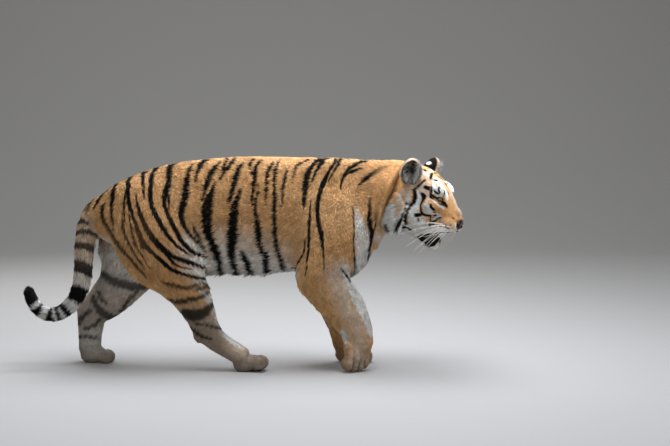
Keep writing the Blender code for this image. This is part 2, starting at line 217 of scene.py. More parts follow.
def solid(name, bm, finish=None):
    """The form as an object; with a finish it is smooth and made of that."""
    mesh = bpy.data.meshes.new(name)
    bm.to_mesh(mesh)
    bm.free()
    if finish:
        mesh.materials.append(finish)
        mesh.shade_smooth()
    return shown(name, mesh)


def settle(thing):
    """Put the modifiers' result into the object itself."""
    bpy.context.view_layer.update()
    mesh = bpy.data.meshes.new_from_object(thing.evaluated_get(bpy.context.evaluated_depsgraph_get()))
    thing.modifiers.clear()
    thing.data = mesh


def in_order(mesh):
    """The same mesh with its points and faces in a fixed order, so that each run gives one result."""
    spots = [tuple(v.co) for v in mesh.vertices]
    order = sorted(range(len(spots)), key=spots.__getitem__)
    rank = {old: new for new, old in enumerate(order)}
    faces = []
    for polygon in mesh.polygons:
        ring = [rank[i] for i in polygon.vertices]
        start = ring.index(min(ring))
        faces.append(ring[start:] + ring[:start])
    made = bpy.data.meshes.new(mesh.name)
    made.from_pydata([spots[i] for i in order], [], sorted(faces))
    return made


def oval(name, radii, matrix):
    bm = bmesh.new()
    bmesh.ops.create_uvsphere(bm, u_segments=40, v_segments=28, radius=1.0)
    bmesh.ops.transform(bm, matrix=matrix @ Matrix.Diagonal((*radii, 1)), verts=bm.verts)
    return solid(name, bm)


ears = []
for sign in SIDES.values():
    ear = oval("ear", EAR_RADII, ear_frame(sign))
    opening = ear_frame(sign) @ Matrix.Translation((EAR_HOLLOW_SHIFT, 0, 0))
    hollow = oval("hollow", EAR_HOLLOW_RADII, opening)
    cut = ear.modifiers.new("cut", "BOOLEAN")
    cut.operation = "DIFFERENCE"
    cut.object = hollow
    settle(ear)
    ear.data = in_order(ear.data)
    bpy.data.objects.remove(hollow)
    ears.append(ear)

# ------------------------------------------------------------------------------- the feet
# Four toes and a main pad to each foot, claws drawn in. Each is in the foot's own frame, with the
# middle of the sole at the origin and the toes to X.

FOREPAW, HINDPAW = (0.158, 0.130, 0.078), (0.145, 0.112, 0.070)
# Across the foot, as shares of its width.
TOE_PLACES = (-0.355, -0.125, 0.125, 0.355)
CLEFT_PLACES = (-0.240, 0.000, 0.240)
# Each foot: its length, width and height, its place, then its yaw and pitch in degrees.
STANCES = (
    (FOREPAW, (0.4840, 0.1104, -0.006), -4, 0),
    (HINDPAW, (-0.6940, 0.1154, -0.006), 3, 0),
    (HINDPAW, (0.0300, -0.1116, -0.004), -3, -11),
    (FOREPAW, (0.4790, -0.0976, 0.096), -52, 82),
)


def stance(place, yaw, pitch):
    return Matrix.Translation(place) @ (rotation(yaw, "Z") @ rotation(pitch, "Y"))


foot_lumps = []
for (long, wide, high), place, yaw, pitch in STANCES:
    parts = [lump((-0.05 * long, 0, 0.10 * high), (0.20 * long, 0.27 * wide, 0.15 * high), inset=0)]
    for share in TOE_PLACES:
        reach = long * (0.47 - 0.60 * share**2)
        toe = (0.20 * long, 0.150 * wide, 0.43 * high)
        parts.append(lump((reach, wide * share, 0.43 * high), toe, inset=0))
        pad = (0.11 * long, 0.090 * wide, 0.12 * high)
        parts.append(lump((reach - 0.01 * long, wide * share, 0.10 * high), pad, inset=0))
    for part in parts:
        part.transform(stance(place, yaw, pitch))
    foot_lumps += parts

# ------------------------------------------------------------------------------- the skin
# One hide over the whole animal: trunk, neck, legs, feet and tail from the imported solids, the
# head and ears from the forms above, all fused, eased and drawn in by the depth of the coat.

OWN_FORMS = ("head", "lower_jaw", "ear_left", "ear_right", "eye_left", "eye_right")
FUSE_OVERLAP = 0.0004
HIDE_VOXEL = 0.0033
HIDE_TRIANGLES = 178000
EASE_LEVELS = 8


def taken(items, key, width=3, kind=float):
    """A property of many mesh items as an array of rows."""
    found = np.empty(len(items) * width, dtype=kind)
    items.foreach_get(key, found)
    return found.reshape(-1, width)


def places(mesh):
    return taken(mesh.vertices, "co")


def facings(mesh):
    return taken(mesh.vertex_normals, "vector")


def put_places(mesh, found):
    mesh.vertices.foreach_set("co", found.ravel())
    mesh.update()


def through(matrix, points):
    """The points carried by a matrix."""
    turn = np.array(matrix.to_3x3())
    return points @ turn.T + np.array(matrix.translation)


def turned(matrix, vectors):
    """The vectors turned by a matrix, with no shift."""
    return vectors @ np.array(matrix.to_3x3()).T


def size_of(vectors):
    return np.linalg.norm(vectors, axis=1)


def unit(vectors):
    return vectors / np.maximum(size_of(vectors), 1e-12)[:, None]


def ramp(values, low, high):
    """0 below low, 1 above high, eased between."""
    t = np.clip((values - low) / (high - low), 0, 1)
    return t * t * (3 - 2 * t)


def ease(thing, rounds, group=""):
    step = thing.modifiers.new("ease", "SMOOTH")
    step.factor = 0.5
    step.iterations = rounds
    step.vertex_group = group


forms = []
for name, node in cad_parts.items():
    if name in OWN_FORMS:
        continue
    flesh = bmesh.new()
    flesh.from_mesh(node.data)
    bmesh.ops.remove_doubles(flesh, verts=flesh.verts, dist=1e-5)
    flesh.normal_update()
    for v in flesh.verts:
        v.co += v.normal * FUSE_OVERLAP
    forms.append(flesh)
for form in head_lumps:
    form.transform(HEAD)
whole = bmesh.new()
for part in [solid("form", form) for form in forms + head_lumps + foot_lumps] + ears:
    whole.from_mesh(part.data)
    bpy.data.objects.remove(part)
skin = solid("tiger_skin", whole)
fuse = skin.modifiers.new("fuse", "REMESH")
fuse.mode = "VOXEL"
fuse.voxel_size = HIDE_VOXEL
settle(skin)


def in_head(points):
    return through(HEAD.inverted(), points)


def head_share(points):
    """1 on the head, fading to 0 over the neck."""
    local = in_head(points)
    along = np.clip(local[:, 0], -0.12, 0.12)
    away = np.sqrt((local[:, 0] - along) ** 2 + (local[:, 1] / 1.15) ** 2 + (local[:, 2] + 0.01) ** 2)
    return 1 - ramp(away, 0.150, 0.205)


def in_feet(points):
    """For each foot: its size, the points in its own frame, and 1 on the foot, fading up the leg."""
    for (long, wide, high), place, yaw, pitch in STANCES:
        own = through(stance(place, yaw, pitch).inverted(), points)
        share = 1 - ramp(np.abs(own[:, 0]), 0.66 * long, 0.80 * long)
        share *= 1 - ramp(own[:, 2], 1.0 * high, 1.5 * high)
        share *= 1 - ramp(np.abs(own[:, 1]), 0.60 * wide, 0.75 * wide)
        share *= ramp(own[:, 2], -0.50 * high, -0.25 * high)
        yield (long, wide, high), own, share


# The fused hide's places are rounded to a tenth of a millimetre, so that runs give one result.
co = np.round(places(skin.data), 4)
put_places(skin.data, co)
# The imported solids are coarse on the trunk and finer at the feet, so the easing differs.
on_head = head_share(co)
on_foot = np.max([share for size, own, share in in_feet(co)], axis=0)
trunk = ramp(co[:, 2], 0.36, 0.50) * ramp(-co[:, 0], -0.72, -0.60) * ramp(co[:, 0], -0.72, -0.62)
for name, shares, rounds in (
    ("trunk", trunk * (1 - on_head), 130),
    ("limbs", (1 - on_head) * (1 - 0.88 * on_foot), 24),
    ("whole", np.ones(len(co)), 3),
):
    group = skin.vertex_groups.new(name=name)
    for level in range(1, EASE_LEVELS + 1):
        chosen = np.where(np.round(shares * EASE_LEVELS) == level)[0]
        if len(chosen):
            group.add(chosen.tolist(), level / EASE_LEVELS, "REPLACE")
    ease(skin, rounds, name)
settle(skin)

# ------------------------------------------------------------------------------- the lie of the coat
# Which way the hair runs and how long it is. Hair runs back from the nose, along the trunk to the
# tail, and down the legs to the toes. Each line is points with the hair's length there, in metres.

LIES = {
    "back": ((0.7, -0.01, 0.84, 0.022), (0.4, 0.0, 0.83, 0.02), (0.0, 0.0, 0.8, 0.02),
        (-0.4, 0.0, 0.79, 0.02), (-0.58, 0.0, 0.72, 0.021)),
    "belly": ((0.6, 0.0, 0.62, 0.03), (0.44, 0.0, 0.5, 0.03), (0.1, 0.0, 0.5, 0.028),
        (-0.2, 0.0, 0.52, 0.028), (-0.42, 0.0, 0.56, 0.026)),
    "right_foreleg": ((0.43, -0.1, 0.8, 0.02), (0.41, -0.12, 0.62, 0.019), (0.35, -0.13, 0.44, 0.018),
        (0.464, -0.12, 0.27, 0.014), (0.52, -0.114, 0.125, 0.01), (0.5, -0.11, 0.01, 0.007)),
    "left_foreleg": ((0.42, 0.1, 0.8, 0.02), (0.4, 0.12, 0.62, 0.019), (0.334, 0.128, 0.44, 0.018),
        (0.409, 0.116, 0.255, 0.014), (0.45, 0.11, 0.12, 0.01), (0.48, 0.11, 0.05, 0.008),
        (0.565, 0.11, 0.02, 0.007)),
    "right_hind_leg": ((-0.44, -0.09, 0.8, 0.02), (-0.4, -0.115, 0.6, 0.021), (-0.281, -0.128, 0.435, 0.02),
        (-0.19, -0.12, 0.27, 0.015), (-0.155, -0.116, 0.18, 0.011), (-0.02, -0.112, 0.08, 0.008),
        (0.1, -0.112, 0.04, 0.007)),
    "left_hind_leg": ((-0.46, 0.09, 0.8, 0.02), (-0.5, 0.115, 0.6, 0.021), (-0.53, 0.128, 0.43, 0.02),
        (-0.636, 0.121, 0.285, 0.015), (-0.706, 0.116, 0.2, 0.011), (-0.712, 0.115, 0.08, 0.008),
        (-0.61, 0.115, 0.03, 0.007)),
    "tail": ((-0.62, 0.0, 0.74, 0.02), (-0.686, 0.0, 0.65, 0.021), (-0.714, -0.012, 0.5, 0.023),
        (-0.734, -0.02, 0.355, 0.024), (-0.766, -0.02, 0.293, 0.024), (-0.816, -0.02, 0.252, 0.022),
        (-0.868, -0.02, 0.24, 0.022), (-0.918, -0.02, 0.262, 0.022), (-0.95, -0.02, 0.306, 0.02),
        (-0.963, -0.02, 0.375, 0.018)),
}
# Places where the coat grows long: centre, reach, added length and added lift in degrees.
LONG_PLACES = (
    ((0.20, 0.0, 0.415), 0.10, 0.014, 8), ((0.08, 0.0, 0.405), 0.11, 0.018, 11),
    ((-0.06, 0.0, 0.410), 0.11, 0.018, 11), ((-0.17, 0.0, 0.440), 0.10, 0.014, 9),
    ((0.49, 0.0, 0.45), 0.11, 0.012, 4),
    ((0.245, -0.14, 0.43), 0.06, 0.010, 8), ((0.245, 0.14, 0.43), 0.06, 0.010, 8),
    ((-0.62, 0.10, 0.50), 0.12, 0.012, 6), ((-0.50, -0.10, 0.50), 0.10, 0.006, 4),
)
# The same in the head's frame and on both sides: the ruff and the chin.
LONG_ON_HEAD = (
    ((-0.112, 0.112, -0.080), 0.075, 0.030, 14), ((-0.100, 0.095, -0.140), 0.06, 0.022, 12),
    ((-0.085, 0.110, -0.010), 0.055, 0.014, 6), ((0.045, 0.020, -0.195), 0.035, 0.006, 8),
)
USUAL_LIFT, MOST_LIFT = 15, 42
FALL = np.array((-0.2, 0, -1))


def line_pull(points, rows):
    """For a line of rows: how near each point is, the line's heading there, and its length value."""
    rows = np.array(rows)
    nearest = np.full(len(points), np.inf)
    heading = np.zeros((len(points), 3))
    value = np.zeros(len(points))
    for a, b in zip(rows, rows[1:]):
        span = b[:3] - a[:3]
        t = np.clip((points - a[:3]) @ span / (span @ span), 0, 1)
        away = size_of(points - a[:3] - t[:, None] * span)
        closer = away < nearest
        nearest[closer] = away[closer]
        heading[closer] = span / np.linalg.norm(span)
        value[closer] = (a[3] + (b[3] - a[3]) * t)[closer]
    return nearest, heading, value


def from_nose(local):
    """How far each point of the head's frame is from the nose."""
    return size_of(local - np.array((0.150, 0.0, -0.035)))


def eye_angles(own):
    """Degrees across and up from the eye's own heading."""
    across = np.degrees(np.arctan2(own[:, 1], own[:, 0]))
    return across, np.degrees(np.arcsin(np.clip(own[:, 2] / np.maximum(size_of(own), 1e-6), -1, 1)))


def ear_size(own):
    """1 on an oval that holds the whole ear."""
    return np.sqrt((own[:, 0] / 0.040) ** 2 + (own[:, 1] / 0.056) ** 2 + (own[:, 2] / 0.078) ** 2)


def between(first, second, share):
    """Rows of the first, moved to those of the second by each row's share."""
    return first * (1 - share)[:, None] + second * share[:, None]


def coat_lie(points, normals):
    """For each point: the unit direction of the hair, its length and its lift in radians."""
    total = np.zeros(len(points))
    heading = np.zeros((len(points), 3))
    length = np.zeros(len(points))
    for rows in LIES.values():
        nearest, along, value = line_pull(points, rows)
        share = 1 / (nearest**2 + 0.0004) ** 3
        heading += along * share[:, None]
        length += value * share
        total += share
    heading /= total[:, None]
    length /= total
    # On the flanks the hair also falls a little.
    heading[:, 2] -= 0.28 * (1 - np.abs(normals[:, 2])) * ramp(points[:, 2], 0.40, 0.60)
    lift = np.full(len(points), float(USUAL_LIFT))
    local = in_head(points)
    share = head_share(points)
    face = unit(turned(HEAD, (local - np.array((0.175, 0.0, -0.030))) * (1.0, 1.0, 0.9)))
    # Behind the cheeks the ruff falls back and down.
    ruff = ramp(-local[:, 0], 0.03, 0.11) * ramp(-local[:, 2], -0.06, 0.03)
    face = between(face, np.array([HEAD.to_3x3() @ Vector((-0.75, 0, -0.65))]), ruff)
    heading = between(heading, face, share)
    on_face = 0.0034 + 0.0070 * ramp(from_nose(local), 0.06, 0.22)
    length = length * (1 - share) + on_face * share
    for sign in SIDES.values():
        for (x, y, z), reach, more, up in LONG_ON_HEAD:
            near = np.exp(-((size_of(local - np.array((x, sign * y, z))) / reach) ** 2) * 1.4)
            length += more * near
            lift += up * near
    # Round the eyes it is very short and parts away from the lids.
    for side in SIDES:
        orbit = eye_frame(side, ORBITS[side])
        own = through(orbit.inverted(), points)
        across, height = eye_angles(own)
        round_eye = 1 - ramp(np.hypot(across / 80, height / 52), 0.85, 1.35)
        round_eye *= size_of(own) < 0.036
        heading = between(heading, unit(turned(orbit, own * (0.1, 1.0, 1.3))), round_eye)
        length = length * (1 - 0.55 * round_eye)
    for centre, reach, more, up in LONG_PLACES:
        near = np.exp(-((size_of(points - np.array(centre)) / reach) ** 2))
        length += more * near
        lift += up * near
    # On the ears it runs from root to rim.
    for sign in SIDES.values():
        cup = ear_frame(sign)
        own = through(cup.inverted(), points)
        share = (1 - ramp(ear_size(own), 1.02, 1.12)) * ramp(own[:, 2], -0.055, -0.030)
        out = unit(turned(cup, own / np.array((0.040, 0.056, 0.078)) + np.array((0, 0, 0.7))))
        heading = between(heading, out, share)
        length = length * (1 - share) + 0.0065 * share
        lift = lift * (1 - share) + 12 * share
    flat = heading - normals * (heading * normals).sum(1)[:, None]
    # Where the hair would point straight in or out it falls instead.
    weak = size_of(flat) < 0.15
    flat[weak] = FALL - normals[weak] * (normals[weak] @ FALL)[:, None]
    return unit(flat), length, np.radians(np.minimum(lift, MOST_LIFT))


# The hide is drawn in so that the coat's tips reach the animal's true outline.
co, normals = places(skin.data), facings(skin.data)
heading, length, lift = coat_lie(co, normals)
depth = np.clip(length * np.sin(lift) * 1.15, 0.001, 0.020) * (1 - 0.85 * head_share(co))
put_places(skin.data, co - normals * depth[:, None])
ease(skin, 2)
settle(skin)

# ------------------------------------------------------------------------------- sockets and folds
# Small forms pressed into the hide: the eye openings, the clefts between the toes and the bed of
# the nose leather. Then the hide is thinned to fewer triangles.

HIDE_FLOOR = 0.0003
CLEFT_DEPTH = 0.0055

co, normals = places(skin.data), facings(skin.data)
for side in SIDES:
    orbit = eye_frame(side, ORBITS[side])
    own = through(orbit.inverted(), co)
    away = size_of(own)
    near = away < EYE_RADIUS + 0.012
    across, height = eye_angles(own)
    opening = np.hypot(across / 70, height / 46)
    inside = near & (opening < 1) & (own[:, 0] > 0)
    pushed = EYE_RADIUS - 0.0055 + 0.0045 * ramp(opening, 0.86, 1.0)
    wanted = np.where(inside, pushed, np.maximum(away, EYE_RADIUS + 0.0010))
    scale = np.where(near, wanted / np.maximum(away, 1e-6), 1.0)
    co[near] = through(orbit, own * scale[:, None])[near]
# Clefts part the toes, and no skin reaches below the floor.
for (long, wide, high), own, share in in_feet(co):
    front = ramp(own[:, 0], 0.02 * long, 0.30 * long) * ramp(own[:, 2], 0.05 * high, 0.25 * high) * share
    for cleft in CLEFT_PLACES:
        across = (own[:, 1] / wide - cleft) / 0.042
        co -= normals * (CLEFT_DEPTH * front * np.exp(-(across**2)))[:, None]
co[:, 2] = np.maximum(co[:, 2], HIDE_FLOOR)
put_places(skin.data, co)

skin.data.calc_loop_triangles()
thin = skin.modifiers.new("thin", "DECIMATE")
thin.ratio = HIDE_TRIANGLES / len(skin.data.loop_triangles)
settle(skin)
skin.data.shade_smooth()


def triangle_data(mesh, key="vertices"):
    mesh.calc_loop_triangles()
    return taken(mesh.loop_triangles, key, kind=np.int64)


# The nose leather follows the muzzle's own form, and the hide under it is pressed in to hold it.
# In the head's frame: its upright axis's place along X, its top, and its height.
NOSE_AXIS = 0.128
NOSE_TOP, NOSE_DEEP = -0.019, 0.053


def nose_reach(t):
    """Half angle that the nose leather spans round its axis, from its top (0) to its foot (1)."""
    return math.radians(1) * np.interp(t, (0, 0.12, 0.35, 0.60, 0.80, 1.0), (30, 46, 62, 62, 46, 22))


def on_nose(local, margin=0.96):
    """Whether each point of the head's frame lies under the nose leather."""
    share = (NOSE_TOP - local[:, 2]) / NOSE_DEEP
    angle = np.abs(np.arctan2(local[:, 1], local[:, 0] - NOSE_AXIS))
    return (share > 0.03) & (share < 0.97) & (angle < nose_reach(share) * margin) & (local[:, 0] > NOSE_AXIS)


tris = triangle_data(skin.data)
co = places(skin.data)
muzzle_tree = BVHTree.FromPolygons(co.tolist(), tris.tolist())
local = in_head(co)
under = on_nose(local, 0.90)
local[under, :2] = (local[under, :2] - (NOSE_AXIS, 0)) * 0.62 + (NOSE_AXIS, 0)
co[under] = through(HEAD, local[under])
put_places(skin.data, co)
hide_tree = BVHTree.FromPolygons(co.tolist(), tris.tolist())

# ------------------------------------------------------------------------------- the markings
# Dark stripes, white and tawny areas, and dark brown strokes of painted shade, each a brush stroke
# on the near side, in millimetres. A point is x, height and half width on the body, and x, y, z and
# half width in the head's frame on the face. The far side carries its own version of the same pattern.

STRIPES = {
    "rump_1": ((-284, 926, 7), (-309, 918, 12), (-319, 893, 14), (-318, 851, 13), (-327, 817, 14),
        (-333, 786, 13), (-338, 752, 9), (-324, 713, 9), (-301, 666, 10), (-274, 614, 10), (-256, 583, 9),
        (-227, 552, 9), (-194, 529, 8), (-151, 512, 5)),
    "rump_1b": ((-319, 782, 7), (-314, 730, 3)),
    "rump_2": ((-356, 912, 4), (-380, 900, 9), (-395, 875, 10), (-400, 825, 10), (-397, 765, 11),
        (-381, 718, 11), (-352, 667, 11), (-317, 613, 9), (-282, 571, 7), (-248, 542, 5), (-218, 521, 2)),
    "rump_3": ((-422, 891, 4), (-438, 870, 9), (-436, 841, 8), (-430, 803, 5), (-425, 769, 2)),
    "thigh_1": ((-461, 786, 2), (-458, 756, 6), (-442, 709, 9), (-418, 658, 11), (-395, 620, 12),
        (-368, 585, 14), (-338, 555, 13), (-303, 528, 11), (-260, 508, 10), (-209, 486, 9), (-157, 459, 6)),
    "thigh_1b": ((-325, 533, 7), (-295, 495, 7), (-260, 475, 5), (-213, 462, 3)),
    "thigh_2": ((-485, 868, 4), (-500, 849, 9), (-500, 812, 11), (-494, 756, 9), (-478, 709, 8),
        (-458, 658, 8), (-439, 615, 10), (-413, 567, 11), (-382, 537, 9), (-347, 506, 10), (-308, 471, 9),
        (-256, 446, 8), (-205, 430, 7), (-155, 418, 5)),
    "thigh_2b": ((-509, 807, 3), (-514, 755, 5), (-512, 704, 4), (-508, 670, 3)),
    "thigh_3": ((-521, 704, 3), (-517, 652, 6), (-503, 605, 7), (-480, 562, 6), (-449, 509, 5),
        (-423, 470, 3)),
    "thigh_4": ((-491, 709, 3), (-480, 653, 4), (-466, 593, 6), (-444, 549, 5), (-413, 497, 4),
        (-396, 470, 2)),
    "thigh_5": ((-463, 662, 3), (-444, 611, 6), (-426, 563, 7)),
    "thigh_6": ((-549, 840, 4), (-562, 817, 9), (-568, 784, 10), (-574, 736, 8), (-570, 688, 7),
        (-560, 637, 3)),
    "thigh_7": ((-603, 750, 3), (-616, 730, 7), (-617, 699, 9), (-605, 664, 10), (-581, 630, 9),
        (-550, 589, 9), (-522, 553, 9), (-490, 517, 7), (-450, 473, 5), (-412, 424, 3)),
    "croup_1": ((-597, 806, 4), (-623, 784, 7), (-639, 760, 7), (-665, 718, 3)),
    "croup_2": ((-662, 767, 3), (-683, 735, 5), (-696, 700, 5), (-693, 660, 4), (-684, 629, 3)),
    "croup_3": ((-692, 734, 2), (-714, 694, 4), (-727, 650, 4), (-731, 614, 2)),
    "loin_1": ((-213, 919, 3), (-227, 902, 7), (-236, 873, 11), (-241, 826, 14), (-246, 774, 16),
        (-256, 730, 15), (-260, 700, 13), (-253, 670, 11), (-236, 634, 8), (-206, 599, 7), (-172, 565, 7),
        (-151, 535, 4)),
    "loin_2": ((-135, 940, 4), (-163, 932, 8), (-183, 913, 11), (-191, 892, 9), (-198, 869, 7),
        (-203, 847, 4)),
    "loin_3": ((-97, 928, 4), (-113, 909, 8), (-130, 884, 12), (-142, 856, 13), (-152, 826, 11),
        (-162, 796, 8), (-170, 761, 3)),
    "flank_1": ((-117, 835, 4), (-125, 805, 10), (-137, 774, 18), (-145, 740, 23), (-148, 696, 23),
        (-146, 652, 21), (-137, 612, 19), (-122, 576, 18), (-108, 540, 18), (-96, 498, 15), (-88, 454, 9)),
    "flank_2": ((-64, 937, 6), (-74, 920, 7), (-78, 895, 7)),
    "flank_3": ((-27, 943, 5), (-41, 924, 7), (-59, 903, 8), (-76, 884, 8), (-93, 850, 3)),
    "flank_4": ((11, 925, 4), (-6, 903, 9), (-18, 876, 12), (-26, 844, 12), (-35, 809, 11), (-44, 775, 8),
        (-49, 749, 3)),
    "flank_5": ((1, 818, 4), (-7, 788, 9), (-18, 758, 13), (-26, 727, 18), (-29, 692, 21), (-32, 644, 22),
        (-35, 591, 22), (-37, 545, 19), (-34, 503, 14), (-19, 458, 12), (-3, 426, 6)),
    "flank_6": ((54, 937, 4), (38, 922, 7), (40, 899, 4), (50, 878, 6)),
    "flank_7": ((90, 937, 4), (73, 920, 7), (64, 895, 9), (61, 861, 11), (57, 822, 9), (54, 784, 7),
        (51, 745, 3)),
    "flank_8": ((78, 835, 3), (76, 797, 5), (68, 758, 7), (66, 719, 8), (74, 684, 11), (81, 644, 14),
        (82, 604, 13), (89, 564, 10), (99, 527, 7)),
    "belly_1": ((113, 536, 8), (113, 503, 14), (117, 469, 14), (121, 435, 7)),
    "belly_2": ((9, 541, 7), (20, 513, 14), (34, 479, 14), (47, 448, 11), (49, 422, 5)),
    "rib_1": ((144, 925, 3), (127, 903, 7), (117, 878, 8), (114, 835, 7), (112, 788, 5), (112, 745, 2)),
    "rib_2": ((170, 929, 3), (155, 901, 7), (149, 865, 6), (148, 818, 7), (151, 775, 9), (149, 723, 9),
        (150, 662, 9), (154, 604, 10), (164, 545, 11), (182, 496, 10), (207, 440, 6)),
    "rib_3": ((213, 912, 2), (200, 884, 5), (192, 848, 7), (186, 801, 7), (182, 740, 3)),
    "rib_4": ((299, 937, 3), (268, 922, 5), (244, 907, 5), (234, 878, 4), (227, 839, 2)),
    "groin": ((-210, 658, 4), (-199, 630, 7), (-182, 603, 7), (-167, 581, 3)),
    "shoulder_1": ((361, 945, 7), (328, 924, 9), (308, 901, 11), (294, 869, 14), (285, 830, 13),
        (281, 792, 11), (279, 753, 9), (279, 727, 4)),
    "shoulder_2": ((388, 947, 9), (359, 927, 10), (340, 901, 8), (326, 873, 6), (313, 841, 3)),
    "shoulder_3": ((309, 765, 2), (306, 722, 5), (302, 670, 7), (302, 600, 7), (299, 548, 6), (292, 487, 3),
        (288, 438, 2)),
    "shoulder_4": ((285, 591, 3), (279, 539, 4), (259, 498, 3), (243, 465, 2)),
    "shoulder_5": ((431, 944, 7), (406, 917, 7), (385, 882, 7), (368, 847, 10), (352, 808, 10),
        (341, 765, 10), (338, 713, 9), (346, 657, 10), (355, 619, 11), (361, 576, 7), (367, 523, 4),
        (369, 466, 2)),
    "shoulder_6": ((451, 944, 9), (430, 921, 7), (412, 891, 5), (386, 845, 3)),
    "neck_1": ((589, 935, 3), (549, 930, 6), (511, 917, 7), (477, 897, 8), (453, 871, 7), (443, 842, 5),
        (441, 808, 2)),
    "neck_2": ((539, 899, 3), (508, 893, 7), (481, 883, 7), (457, 866, 4)),
    "neck_3": ((669, 913, 3), (633, 902, 7), (602, 887, 10), (572, 869, 9), (548, 850, 9), (517, 826, 3)),
    "neck_4": ((574, 776, 3), (571, 737, 8), (568, 697, 10), (571, 658, 11), (575, 622, 10), (572, 580, 6),
        (567, 528, 6), (555, 468, 4)),
    "neck_5": ((685, 838, 4), (683, 803, 9), (658, 781, 10), (629, 761, 7), (609, 728, 6), (597, 684, 5),
        (590, 635, 3)),
    "neck_6": ((685, 807, 7), (675, 768, 6), (658, 733, 4), (645, 706, 2)),
    "breast": ((494, 730, 2), (498, 657, 3), (497, 570, 3), (502, 492, 4), (504, 435, 3), (492, 411, 2)),
    "forearm": ((439, 469, 3), (459, 444, 5), (478, 407, 3)),
}
NEAR_HIND_BANDS = {
    "knee_1": ((-349, 412, 2), (-305, 399, 8), (-253, 384, 10), (-214, 387, 8), (-180, 399, 5),
        (-159, 394, 4), (-144, 377, 4)),
    "knee_2": ((-205, 369, 4), (-178, 377, 7), (-155, 383, 9), (-142, 371, 4)),
    "knee_3": ((-318, 333, 4), (-277, 319, 11), (-228, 329, 12), (-184, 337, 10), (-157, 351, 8),
        (-138, 358, 5)),
    "shin_1": ((-256, 272, 14), (-228, 262, 25), (-192, 260, 27), (-160, 273, 21), (-138, 294, 14),
        (-124, 318, 8)),
    "shin_2": ((-200, 218, 4), (-164, 217, 6), (-134, 205, 6), (-104, 194, 6), (-93, 193, 3)),
    "hock": ((-222, 196, 5), (-197, 175, 9), (-165, 157, 7), (-134, 149, 4)),
}
FAR_HIND_BANDS = {
    "far_knee": ((-664, 448, 11), (-643, 415, 17), (-597, 384, 21), (-533, 362, 22), (-480, 355, 20),
        (-430, 360, 14)),
    "far_shin_1": ((-667, 326, 9), (-650, 300, 10), (-628, 282, 7)),
    "far_shin_2": ((-690, 300, 11), (-662, 248, 16), (-622, 213, 18), (-584, 204, 15), (-560, 228, 9)),
    "far_shin_3": ((-482, 342, 8), (-528, 292, 9), (-566, 238, 9)),
    "far_hock_1": ((-765, 178, 9), (-738, 214, 11), (-706, 242, 9)),
    "far_hock_2": ((-728, 158, 7), (-688, 176, 9), (-655, 206, 8)),
    "far_hock_3": ((-756, 122, 7), (-710, 124, 9), (-672, 116, 7)),
}
PALE_BODY = {
    "belly": ((-158, 470, 30), (-128, 466, 46), (-83, 478, 64), (-3, 478, 78), (85, 468, 70),
        (164, 452, 52), (222, 446, 30)),
    "flank": ((-89, 640, 6), (-83, 594, 16), (-76, 535, 30)),
    "flank_low": ((14, 591, 14), (26, 555, 30)),
    "rib_low": ((114, 564, 10), (122, 527, 24)),
    "armpit": ((453, 486, 12), (467, 444, 18), (473, 385, 18)),
    "throat": ((600, 600, 18), (637, 585, 30), (690, 600, 30)),
}
# Whiter places with crisper edges: between the bands of the groin, down the shin and on the breast.
WHITE_BODY = {
    "groin_1": ((-250, 609, 9), (-220, 575, 15), (-191, 549, 18), (-159, 532, 12)),
    "groin_2": ((-236, 507, 8), (-194, 500, 15), (-153, 489, 18)),
    "groin_3": ((-244, 463, 6), (-194, 450, 13), (-157, 428, 16)),
    "groin_4": ((-202, 411, 6), (-151, 402, 13)),
    "shin_front": ((-181, 366, 4), (-152, 346, 15), (-135, 326, 20), (-125, 298, 12), (-112, 261, 10),
        (-98, 215, 10), (-67, 165, 12), (-31, 128, 13), (1, 106, 9)),
    "breast": ((512, 728, 3), (514, 700, 10), (524, 664, 20), (534, 612, 31), (540, 554, 33),
        (530, 485, 30), (515, 417, 22), (498, 373, 13), (508, 338, 10), (533, 287, 10), (558, 233, 10),
        (577, 175, 8)),
}
# The near foreleg is white along its front edge and behind its wrist, partly its own pale hair and
# partly a painted highlight where light catches the fringe.
FORELEG_WHITE_AND_HIGHLIGHT = {
    "front": ((444, 468, 12), (468, 428, 20), (494, 382, 25), (522, 316, 25), (546, 255, 19),
        (566, 195, 12), (578, 160, 7)),
    "wrist": ((452, 190, 8), (456, 165, 14), (464, 135, 9)),
}
